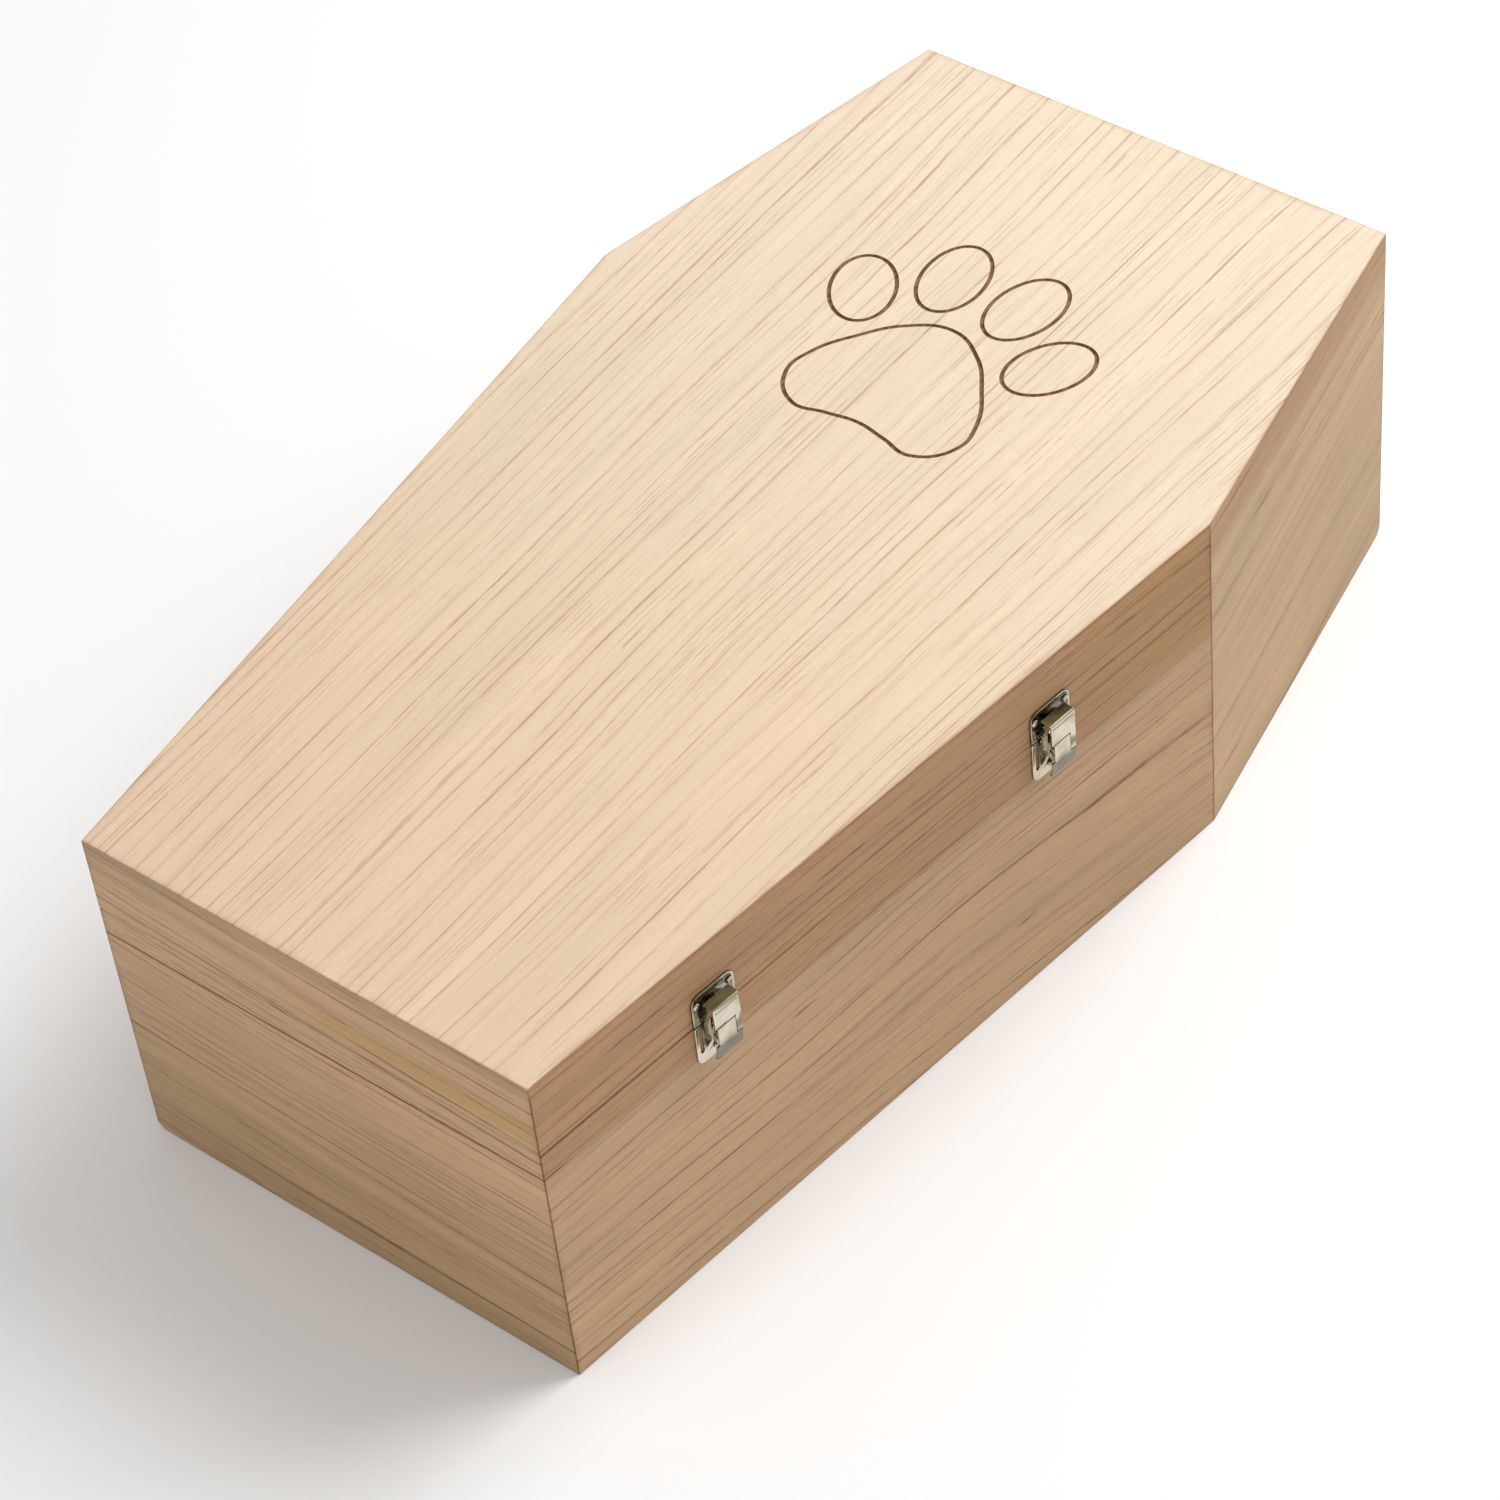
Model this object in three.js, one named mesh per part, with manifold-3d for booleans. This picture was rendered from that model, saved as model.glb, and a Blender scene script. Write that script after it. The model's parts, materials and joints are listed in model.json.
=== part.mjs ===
// A wooden pet coffin: a six-sided box of mitred boards with a hinged box lid.
// A paw print is engraved in the lid, two toggle latches close one long side,
// and two butt hinges carry the lid on the other.
//
// Millimetres, +Z up. +Y points to the head end and +X to the side with the latches.
// The origin is on the underside, midway along the length.

import * as THREE from 'three';
import { mergeVertices } from 'three/addons/utils/BufferGeometryUtils.js';
import Module from 'manifold-3d';

const wasm = await Module();
wasm.setup();

// Size of the box
const LENGTH = 700;
const HEIGHT = 216;
const FOOT_WIDTH = 276;
const SHOULDER_WIDTH = 384;
const HEAD_WIDTH = 296;
const FOOT_TO_SHOULDER = 468;
const LID_HEIGHT = 48;

// Boards
const WALL = 12;
const TOP_BOARD = 8;
const FLOOR_BOARD = 9;
const EASED_EDGE = 0.4;
const SEAM_GAP = 0.4;
const MITRE_GAP = 0.3;
const FLOOR_GAP = 0.3;
const WORN_CORNER = 6;

// Engraved paw print, laid out from the middle of the box
const GROOVE_WIDTH = 2.2;
const GROOVE_DEPTH = 1;
const TOE_SEGMENTS = 32;
const PAD_SEGMENTS = 64;
const INNER_TOE = { x: 23, y: 200.5, width: 35.6, length: 54.4, lean: 8.5 };
const OUTER_TOE = { x: 59.5, y: 169.3, width: 35.4, length: 51.8, lean: 28 };
const PAD_Y = 115;
// Right half of the pad's outline, from its top to the hollow in its lower edge
const PAD_HALF = [
  [0, 52],
  [23.5, 41.3],
  [39.4, 22.8],
  [52.4, 0.5],
  [54.6, -19],
  [37.5, -36.6],
  [18, -33.6],
  [0, -30.8],
];

// Fittings stand along the two long sides, at these distances from the foot corner
const FITTING_PLACES = { foot: 113.5, head: 349 };
const BACK_GAP = 0.3;
const SHEET = 0.8;
const FACE = BACK_GAP + SHEET;

// Toggle latch, measured from the middle of the seam behind it
const LATCH_HALF_WIDTH = 14;
const CATCH_PLATE = { low: 0.5, high: 20, corner: 5 };
const CATCH_LIP = { halfWidth: 5.4, low: 5.7, high: 12.9, front: 4.4 };
const CATCH_SCREW = { x: 11, z: 13.6 };
const BASE_PLATE = { low: -27, high: -0.5, corner: 5 };
const BASE_SLOT = { x: 10.3, halfWidth: 1.3, low: -20, high: -3.5 };
const BASE_SCREWS = [{ x: 1, z: -4.6 }, { x: 1, z: -21.5 }];
const EAR = { inner: 6.85, front: 7.2, low: -5, high: 2.2, back: 1.6, corner: 1.5 };
const LATCH_FRONT = 9.5;
const LEVER_PIVOT = { y: 5.4, z: -1.4 };
const HOOK_PIVOT = { y: 5, z: -6.6 };
const LEVER = { left: 6.7, right: -4.6, high: -0.2 };
const LEVER_LIP = { high: -12.3, low: -20.5, lean: 6, radius: 3, sweep: 80 };
const HOOK = { halfWidth: 8.6, low: 0.6, high: 14.2, flangeBack: 2.6, stripLeft: -5, stripLow: -11.2 };
const HOOK_FRAME = { rim: 1.3, depth: 0.3 };
const HOOK_ARM = { back: 2.4, front: 6.9, slantLow: 0.5, slantTop: 6.6, webLow: 9.5, eye: 1.9 };
const PIN_RADIUS = 1;
const PIN_HOLE = 1.12;
const PIN_SEGMENTS = 14;

// Butt hinge, measured the same way
const HINGE_HALF_LENGTH = 16;
const LEAF = { thickness: 1.2, edge: 2.9, reach: 15, corner: 2 };
const KNUCKLE = { y: 2.9, radius: 2.5, bore: 1.3, pin: 1.18, middle: 5.2, gap: 0.3, segments: 16 };
const HINGE_SCREW = { x: 10, z: 9.6 };

// Screws of the latches and the hinges
const SCREW = { head: 2.1, dome: 0.9, shank: 1.15, hole: 1.4, gap: 0.05, segments: 12 };
const HOLE_SEGMENTS = 12;

const CORNER_SEGMENTS = 4;
const DEGREE = Math.PI / 180;

const finish = (name, color, roughness, metalness) => (
  new THREE.MeshStandardMaterial({ name, color, roughness, metalness })
);
const materials = {
  top: finish('top board', 0xe6cfae, 0.62, 0),
  lid: finish('lid walls', 0xb08e6c, 0.62, 0),
  base: finish('base walls', 0xb7997a, 0.62, 0),
  floor: finish('floor board', 0xcbb08c, 0.7, 0),
  nickel: finish('nickel', 0xc9c5b8, 0.24, 1),
  steel: finish('steel', 0x8d8a82, 0.35, 1),
};

// Corners of the box, anticlockwise from the right foot corner
const halfLength = LENGTH / 2;
const shoulderY = FOOT_TO_SHOULDER - halfLength;
const corners = [
  new THREE.Vector2(FOOT_WIDTH / 2, -halfLength),
  new THREE.Vector2(SHOULDER_WIDTH / 2, shoulderY),
  new THREE.Vector2(HEAD_WIDTH / 2, halfLength),
  new THREE.Vector2(-HEAD_WIDTH / 2, halfLength),
  new THREE.Vector2(-SHOULDER_WIDTH / 2, shoulderY),
  new THREE.Vector2(-FOOT_WIDTH / 2, -halfLength),
];
const sides = ['right_side', 'right_shoulder', 'head_end', 'left_shoulder', 'left_side', 'foot_end'];
const RIGHT_SIDE = 0;
const LEFT_SIDE = 4;
// The head's right corner and the foot's left corner are worn round at the floor
const WORN_CORNERS = [2, 5];
const seam = HEIGHT - LID_HEIGHT;

const around = (index) => (index + corners.length) % corners.length;
const along = (index) => corners[around(index + 1)].clone().sub(corners[index]).normalize();
const inward = (index) => new THREE.Vector2(-along(index).y, along(index).x);

// A corner moved inwards on its mitre line, until it is this far from both sides
function mitreCorner(index, inset) {
  const before = inward(around(index - 1));
  const after = inward(index);
  const bisector = before.clone().add(after);
  return corners[index].clone().addScaledVector(bisector, inset / (1 + before.dot(after)));
}

function hexagon(inset) {
  return corners.map((corner, index) => mitreCorner(index, inset));
}

// A closed solid through outlines that have the same corners, one above the other
function stack(layers) {
  const count = layers[0].outline.length;
  const positions = layers.flatMap(({ outline, z }) => outline.flatMap((point) => [point.x, point.y, z]));
  const faces = [];
  for (let level = 0; level < layers.length - 1; level += 1) {
    for (let i = 0; i < count; i += 1) {
      const a = level * count + i;
      const b = level * count + ((i + 1) % count);
      faces.push(a, b, b + count, a, b + count, a + count);
    }
  }
  const last = (layers.length - 1) * count;
  for (const [a, b, c] of THREE.ShapeUtils.triangulateShape(layers[0].outline, [])) faces.push(c, b, a);
  for (const [a, b, c] of THREE.ShapeUtils.triangulateShape(layers.at(-1).outline, [])) {
    faces.push(last + a, last + b, last + c);
  }
  const geometry = new THREE.BufferGeometry();
  geometry.setAttribute('position', new THREE.Float32BufferAttribute(positions, 3));
  geometry.setIndex(faces);
  return geometry;
}

// Joins and cuts of closed meshes
function solid(geometry) {
  const bare = geometry.clone();
  bare.deleteAttribute('normal');
  bare.deleteAttribute('uv');
  const merged = mergeVertices(bare, 1e-4);
  return new wasm.Manifold(new wasm.Mesh({
    numProp: 3,
    vertProperties: new Float32Array(merged.attributes.position.array),
    triVerts: new Uint32Array(merged.index.array),
  }));
}

function meshed(body) {
  const { vertProperties, triVerts } = body.getMesh();
  const geometry = new THREE.BufferGeometry();
  geometry.setAttribute('position', new THREE.BufferAttribute(new Float32Array(vertProperties), 3));
  geometry.setIndex(new THREE.BufferAttribute(new Uint32Array(triVerts), 1));
  return geometry;
}

function join(...geometries) {
  return meshed(geometries.map(solid).reduce((whole, part) => whole.add(part)));
}

function cut(geometry, ...cutters) {
  return meshed(cutters.map(solid).reduce((whole, cutter) => whole.subtract(cutter), solid(geometry)));
}

// Outlines of sheet metal: each point is [across, up, corner radius]
function rounded(points) {
  const shape = new THREE.Shape();
  const spots = points.map(([x, y]) => new THREE.Vector2(x, y));
  points.forEach(([, , radius = 0], i) => {
    const spot = spots[i];
    const before = spots[(i + spots.length - 1) % spots.length].clone().sub(spot).normalize();
    const after = spots[(i + 1) % spots.length].clone().sub(spot).normalize();
    const start = spot.clone().addScaledVector(before, radius);
    const end = spot.clone().addScaledVector(after, radius);
    if (i === 0) shape.moveTo(start.x, start.y);
    else shape.lineTo(start.x, start.y);
    if (radius > 0) shape.quadraticCurveTo(spot.x, spot.y, end.x, end.y);
  });
  shape.closePath();
  return shape;
}

function rectangle(left, low, right, high) {
  return rounded([[left, low], [right, low], [right, high], [left, high]]);
}

// A hole as a polygon, so that its number of sides is its own
function roundHole(x, y, radius, segments) {
  const ring = Array.from({ length: segments }, (_, i) => {
    const turn = (2 * Math.PI * i) / segments;
    return new THREE.Vector2(x + radius * Math.cos(turn), y + radius * Math.sin(turn));
  });
  return new THREE.Path(ring);
}

function slotHole(x, low, high, halfWidth) {
  const slot = new THREE.Path();
  slot.absarc(x, low + halfWidth, halfWidth, Math.PI, 2 * Math.PI);
  slot.absarc(x, high - halfWidth, halfWidth, 0, Math.PI);
  slot.closePath();
  return slot;
}

const extruded = (shape, depth) => new THREE.ExtrudeGeometry(shape, {
  depth,
  bevelEnabled: false,
  curveSegments: CORNER_SEGMENTS,
});

// A sheet that lies against the box: the shape's axes are the seam and up
function sheetOn(shape, back, thickness) {
  return extruded(shape, thickness).rotateX(Math.PI / 2).translate(0, back + thickness, 0);
}

// A bent strip seen end on: the shape's axes are outwards and up, and it runs from x to x
function stripAcross(shape, from, to) {
  const turn = new THREE.Matrix4().makeBasis(
    new THREE.Vector3(0, 1, 0),
    new THREE.Vector3(0, 0, 1),
    new THREE.Vector3(1, 0, 0),
  );
  return extruded(shape, to - from).applyMatrix4(turn).translate(from, 0, 0);
}

function rodAcross(radius, from, to, y, z, segments) {
  const rod = new THREE.CylinderGeometry(radius, radius, to - from, segments);
  return rod.rotateZ(Math.PI / 2).translate((from + to) / 2, y, z);
}

// One board of a wall, mitred at both ends and eased on its outer edges
function wallBoard(index, low, high) {
  const step = along(index).multiplyScalar(MITRE_GAP / 2);
  const outline = (ease) => [
    mitreCorner(index, ease).add(step),
    mitreCorner(around(index + 1), ease).sub(step),
    mitreCorner(around(index + 1), WALL).sub(step),
    mitreCorner(index, WALL).add(step),
  ];
  return stack([
    { outline: outline(EASED_EDGE), z: low },
    { outline: outline(0), z: low + EASED_EDGE },
    { outline: outline(0), z: high - EASED_EDGE },
    { outline: outline(EASED_EDGE), z: high },
  ]);
}

// What is worn off the foot of a corner: all outside a quarter round
function cornerWear(index) {
  const reach = 4 * WORN_CORNER;
  const profile = new THREE.Shape();
  profile.moveTo(-reach, -reach);
  profile.lineTo(WORN_CORNER, -reach);
  profile.lineTo(WORN_CORNER, 0);
  profile.absarc(WORN_CORNER, WORN_CORNER, WORN_CORNER, -Math.PI / 2, -Math.PI, true);
  profile.lineTo(-reach, WORN_CORNER);
  profile.closePath();
  const inner = mitreCorner(index, WALL).sub(corners[index]);
  const block = stripAcross(profile, -reach, reach);
  block.rotateZ(Math.atan2(inner.y, inner.x) - Math.PI / 2);
  return block.translate(corners[index].x, corners[index].y, 0);
}

function baseWall(index) {
  const board = wallBoard(index, 0, seam - SEAM_GAP / 2);
  const ends = [index, around(index + 1)];
  const worn = WORN_CORNERS.filter((corner) => ends.includes(corner));
  return worn.length ? cut(board, ...worn.map(cornerWear)) : board;
}

function floorBoard() {
  const outline = hexagon(WALL + FLOOR_GAP);
  return stack([{ outline, z: 0 }, { outline, z: FLOOR_BOARD }]);
}

// Outlines of the paw print on the lid
function toeOutline({ x, y, width, length, lean }, side) {
  const turn = -side * lean * DEGREE;
  const toe = new THREE.EllipseCurve(side * x, y, width / 2, length / 2, 0, 2 * Math.PI, false, turn);
  return toe.getPoints(TOE_SEGMENTS).slice(0, -1);
}

function padOutline() {
  const left = PAD_HALF.slice(1, -1).map(([x, y]) => [-x, y]).reverse();
  const points = [...PAD_HALF, ...left].map(([x, y]) => new THREE.Vector3(x, PAD_Y + y, 0));
  const curve = new THREE.CatmullRomCurve3(points.reverse(), true, 'centripetal');
  return curve.getSpacedPoints(PAD_SEGMENTS).slice(0, -1).map(({ x, y }) => new THREE.Vector2(x, y));
}

// The groove along a closed outline, reaching above the lid so that it cuts clean through the face
function grooveCutter(outline) {
  const shifted = (distance) => outline.map((point, i) => {
    const before = outline[(i + outline.length - 1) % outline.length];
    const after = outline[(i + 1) % outline.length];
    const tangent = after.clone().sub(before).normalize();
    return new THREE.Vector2(point.x + tangent.y * distance, point.y - tangent.x * distance);
  });
  const band = new THREE.Shape(shifted(GROOVE_WIDTH / 2));
  band.holes.push(new THREE.Path(shifted(-GROOVE_WIDTH / 2)));
  return extruded(band, 2 * GROOVE_DEPTH).translate(0, 0, HEIGHT - GROOVE_DEPTH);
}

function lidTopBoard() {
  const board = stack([
    { outline: hexagon(0), z: HEIGHT - TOP_BOARD },
    { outline: hexagon(0), z: HEIGHT - EASED_EDGE },
    { outline: hexagon(EASED_EDGE), z: HEIGHT },
  ]);
  const outlines = [padOutline()];
  for (const side of [-1, 1]) outlines.push(toeOutline(INNER_TOE, side), toeOutline(OUTER_TOE, side));
  return cut(board, ...outlines.map(grooveCutter));
}

// A screw: its shank fills the hole in the plate, and its head lies on the plate's face
function screw(face) {
  const under = face + SCREW.gap;
  const profile = [
    [0, BACK_GAP / 2],
    [SCREW.shank, BACK_GAP / 2],
    [SCREW.shank, under],
    [SCREW.head, under],
    [SCREW.head * 0.97, under + SCREW.dome * 0.35],
    [SCREW.head * 0.72, under + SCREW.dome * 0.8],
    [SCREW.head * 0.38, under + SCREW.dome],
    [0, under + SCREW.dome],
  ];
  return new THREE.LatheGeometry(profile.map(([x, y]) => new THREE.Vector2(x, y)), SCREW.segments);
}

// The plate on the lid, with the upturned lip that the hook draws down on
function catchPlate() {
  const { low, high, corner } = CATCH_PLATE;
  const plate = rounded([
    [-LATCH_HALF_WIDTH, low],
    [LATCH_HALF_WIDTH, low],
    [LATCH_HALF_WIDTH, high, corner],
    [-LATCH_HALF_WIDTH, high, corner],
  ]);
  for (const side of [-1, 1]) {
    plate.holes.push(roundHole(side * CATCH_SCREW.x, CATCH_SCREW.z, SCREW.hole, HOLE_SEGMENTS));
  }
  const lip = rounded([
    [FACE - SHEET / 2, CATCH_LIP.low],
    [CATCH_LIP.front, CATCH_LIP.low, SHEET],
    [CATCH_LIP.front, CATCH_LIP.high],
    [CATCH_LIP.front - SHEET, CATCH_LIP.high],
    [CATCH_LIP.front - SHEET, CATCH_LIP.low + SHEET],
    [FACE - SHEET / 2, CATCH_LIP.low + SHEET],
  ]);
  return join(
    sheetOn(plate, BACK_GAP, SHEET),
    stripAcross(lip, -CATCH_LIP.halfWidth, CATCH_LIP.halfWidth),
  );
}

// The plate on the base, slotted beside the two ears that carry the lever.
// The ears stand a little over the seam, clear of the catch plate.
function basePlate() {
  const { low, high, corner } = BASE_PLATE;
  const plate = rounded([
    [-LATCH_HALF_WIDTH, low, corner],
    [LATCH_HALF_WIDTH, low, corner],
    [LATCH_HALF_WIDTH, high],
    [-LATCH_HALF_WIDTH, high],
  ]);
  for (const { x, z } of BASE_SCREWS) plate.holes.push(roundHole(x, z, SCREW.hole, HOLE_SEGMENTS));
  for (const side of [-1, 1]) {
    plate.holes.push(slotHole(side * BASE_SLOT.x, BASE_SLOT.low, BASE_SLOT.high, BASE_SLOT.halfWidth));
  }
  const ear = rounded([
    [FACE - SHEET / 2, EAR.low],
    [EAR.front, EAR.low, EAR.corner],
    [EAR.front, EAR.high, EAR.corner],
    [EAR.back, EAR.high],
    [EAR.back, high],
    [FACE - SHEET / 2, high],
  ]);
  ear.holes.push(roundHole(LEVER_PIVOT.y, LEVER_PIVOT.z, PIN_HOLE, PIN_SEGMENTS));
  return join(
    sheetOn(plate, BACK_GAP, SHEET),
    stripAcross(ear, EAR.inner, EAR.inner + SHEET),
    stripAcross(ear, -EAR.inner - SHEET, -EAR.inner),
  );
}

// The finger lip seen end on: it leans in a little and curls under at its end
function lipOutline() {
  const { high, low, radius } = LEVER_LIP;
  const lean = LEVER_LIP.lean * DEGREE;
  const end = lean + LEVER_LIP.sweep * DEGREE;
  const y = LATCH_FRONT - (high - low) * Math.tan(lean) - radius * Math.cos(lean);
  const z = low + radius * Math.sin(lean);
  const lip = new THREE.Shape();
  lip.moveTo(LATCH_FRONT - SHEET, high + SHEET / 2);
  lip.lineTo(LATCH_FRONT - SHEET, high);
  lip.absarc(y, z, radius - SHEET, -lean, -end, true);
  lip.absarc(y, z, radius, -end, -lean, false);
  lip.lineTo(LATCH_FRONT, high);
  lip.lineTo(LATCH_FRONT, high + SHEET / 2);
  lip.closePath();
  return lip;
}

// The lever: a narrow front between two cheeks, and a finger lip as wide as the latch
function lever() {
  const lipTop = LEVER_LIP.high;
  const front = rectangle(LATCH_FRONT - SHEET, lipTop, LATCH_FRONT, LEVER.high);
  const cheek = rounded([
    [3.6, LEVER.high, 1],
    [3.8, HOOK_PIVOT.z - 2, 1.5],
    [6.6, lipTop + 1.2, 1],
    [LATCH_FRONT - SHEET / 2, lipTop + 0.2],
    [LATCH_FRONT - SHEET / 2, lipTop + 3.2],
    [7.1, lipTop + 4.8, 1],
    [7.1, LEVER.high, 1],
  ]);
  for (const { y, z } of [LEVER_PIVOT, HOOK_PIVOT]) cheek.holes.push(roundHole(y, z, PIN_HOLE, PIN_SEGMENTS));
  return join(
    stripAcross(front, LEVER.right, LEVER.left),
    stripAcross(lipOutline(), -HOOK.halfWidth, HOOK.halfWidth),
    stripAcross(cheek, LEVER.right, LEVER.right + SHEET),
    stripAcross(cheek, LEVER.left - SHEET, LEVER.left),
  );
}

// The hook: a framed front, a flange that lies over the lip, and two arms to its pin
function hook() {
  const { halfWidth, low, high, flangeBack, stripLeft, stripLow } = HOOK;
  const front = rounded([
    [-halfWidth, stripLow],
    [stripLeft, stripLow],
    [stripLeft, low],
    [halfWidth, low],
    [halfWidth, high - SHEET / 2],
    [-halfWidth, high - SHEET / 2],
  ]);
  const flange = rounded([
    [flangeBack, high - SHEET],
    [LATCH_FRONT - SHEET, high - SHEET],
    [LATCH_FRONT - SHEET, high - 2 * SHEET],
    [LATCH_FRONT, high - 2 * SHEET],
    [LATCH_FRONT, high, 1],
    [flangeBack, high],
  ]);
  const { rim, depth } = HOOK_FRAME;
  const recess = rectangle(rim - halfWidth, low + rim, halfWidth - rim, high - rim);
  const arm = rounded([
    [HOOK_ARM.back, HOOK_ARM.slantLow, 1],
    [HOOK_ARM.back, HOOK_PIVOT.z - HOOK_ARM.eye, HOOK_ARM.eye],
    [HOOK_ARM.front, HOOK_PIVOT.z - HOOK_ARM.eye, HOOK_ARM.eye],
    [HOOK_ARM.front, HOOK_ARM.webLow, 1],
    [LATCH_FRONT - SHEET / 2, HOOK_ARM.webLow],
    [LATCH_FRONT - SHEET / 2, high - SHEET / 2],
    [HOOK_ARM.slantTop, high - SHEET / 2],
  ]);
  arm.holes.push(roundHole(HOOK_PIVOT.y, HOOK_PIVOT.z, PIN_HOLE, PIN_SEGMENTS));
  const whole = join(
    sheetOn(front, LATCH_FRONT - SHEET, SHEET),
    stripAcross(flange, -halfWidth, halfWidth),
    stripAcross(arm, -halfWidth, SHEET - halfWidth),
    stripAcross(arm, halfWidth - SHEET, halfWidth),
  );
  return cut(whole, sheetOn(recess, LATCH_FRONT - depth, 2 * depth));
}

function latchPin(pivot, reach) {
  return rodAcross(PIN_RADIUS, -reach, reach, pivot.y, pivot.z, PIN_SEGMENTS);
}

// One leaf of a hinge: side is 1 for the leaf on the lid and -1 for the leaf on the base
function hingeLeaf(side) {
  const { thickness, edge, reach, corner } = LEAF;
  const upright = [
    [-HINGE_HALF_LENGTH, side * edge],
    [HINGE_HALF_LENGTH, side * edge],
    [HINGE_HALF_LENGTH, side * reach, corner],
    [-HINGE_HALF_LENGTH, side * reach, corner],
  ];
  const plate = rounded(side > 0 ? upright : upright.reverse());
  for (const way of [-1, 1]) {
    plate.holes.push(roundHole(way * HINGE_SCREW.x, side * HINGE_SCREW.z, SCREW.hole, HOLE_SEGMENTS));
  }
  const inner = KNUCKLE.middle + KNUCKLE.gap;
  const stretches = side > 0
    ? [[-KNUCKLE.middle, KNUCKLE.middle]]
    : [[-HINGE_HALF_LENGTH, -inner], [inner, HINGE_HALF_LENGTH]];
  const tongue = rectangle(
    BACK_GAP,
    Math.min(0, side * (edge + 0.5)),
    BACK_GAP + thickness,
    Math.max(0, side * (edge + 0.5)),
  );
  const parts = [sheetOn(plate, BACK_GAP, thickness)];
  for (const [from, to] of stretches) {
    parts.push(stripAcross(tongue, from, to));
    parts.push(rodAcross(KNUCKLE.radius, from, to, KNUCKLE.y, 0, KNUCKLE.segments));
  }
  const reachPast = HINGE_HALF_LENGTH + 1;
  return cut(join(...parts), rodAcross(KNUCKLE.bore, -reachPast, reachPast, KNUCKLE.y, 0, KNUCKLE.segments));
}

function hingePin() {
  return rodAcross(KNUCKLE.pin, -HINGE_HALF_LENGTH, HINGE_HALF_LENGTH, KNUCKLE.y, 0, KNUCKLE.segments);
}

// A group that stands on a long side at the seam: +Y outwards, +Z up
function fittingPlace(index, fromFoot) {
  const sideLength = corners[index].distanceTo(corners[around(index + 1)]);
  const distance = index === RIGHT_SIDE ? fromFoot : sideLength - fromFoot;
  const spot = corners[index].clone().addScaledVector(along(index), distance);
  const outward = inward(index).negate();
  const group = new THREE.Group();
  group.position.set(spot.x, spot.y, seam);
  group.rotation.z = Math.atan2(outward.y, outward.x) - Math.PI / 2;
  return group;
}

function piece(name, geometry, material) {
  const mesh = new THREE.Mesh(geometry, material);
  mesh.name = name;
  return mesh;
}

function screwAt(name, face, x, z) {
  const fastener = piece(name, screw(face), materials.nickel);
  fastener.position.set(x, 0, z);
  return fastener;
}

function latch(name, fromFoot) {
  const group = fittingPlace(RIGHT_SIDE, fromFoot);
  group.add(
    piece(`${name}_catch_plate`, catchPlate(), materials.nickel),
    piece(`${name}_base_plate`, basePlate(), materials.nickel),
    piece(`${name}_lever`, lever(), materials.nickel),
    piece(`${name}_hook`, hook(), materials.nickel),
    piece(`${name}_lever_pin`, latchPin(LEVER_PIVOT, EAR.inner + SHEET), materials.steel),
    piece(`${name}_hook_pin`, latchPin(HOOK_PIVOT, HOOK.halfWidth), materials.steel),
  );
  [1, -1].forEach((side, i) => {
    group.add(screwAt(`${name}_catch_screw_${i + 1}`, FACE, side * CATCH_SCREW.x, CATCH_SCREW.z));
  });
  BASE_SCREWS.forEach(({ x, z }, i) => group.add(screwAt(`${name}_base_screw_${i + 1}`, FACE, x, z)));
  return group;
}

function hinge(name, fromFoot) {
  const group = fittingPlace(LEFT_SIDE, fromFoot);
  group.add(piece(`${name}_pin`, hingePin(), materials.steel));
  for (const [part, side] of [['lid', 1], ['base', -1]]) {
    group.add(piece(`${name}_${part}_leaf`, hingeLeaf(side), materials.nickel));
    [1, -1].forEach((way, i) => {
      const face = BACK_GAP + LEAF.thickness;
      group.add(screwAt(`${name}_${part}_screw_${i + 1}`, face, way * HINGE_SCREW.x, side * HINGE_SCREW.z));
    });
  }
  return group;
}

const coffin = new THREE.Group();
coffin.add(piece('floor_board', floorBoard(), materials.floor));
coffin.add(piece('lid_top_board', lidTopBoard(), materials.top));
sides.forEach((side, index) => {
  coffin.add(piece(`base_${side}`, baseWall(index), materials.base));
  coffin.add(piece(`lid_${side}`, wallBoard(index, seam + SEAM_GAP / 2, HEIGHT - TOP_BOARD), materials.lid));
});
for (const [end, fromFoot] of Object.entries(FITTING_PLACES)) {
  coffin.add(latch(`${end}_latch`, fromFoot));
  coffin.add(hinge(`${end}_hinge`, fromFoot));
}

export default coffin;
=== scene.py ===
"""A wooden pet coffin with an engraved lid, two toggle latches and two butt hinges.

Metres, Z up. +Y points to the head end and +X to the side with the latches.
"""

import json
import math

import bmesh
import bpy
from bpy.props import FloatProperty, FloatVectorProperty, PointerProperty
from mathutils import Matrix, Vector


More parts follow.
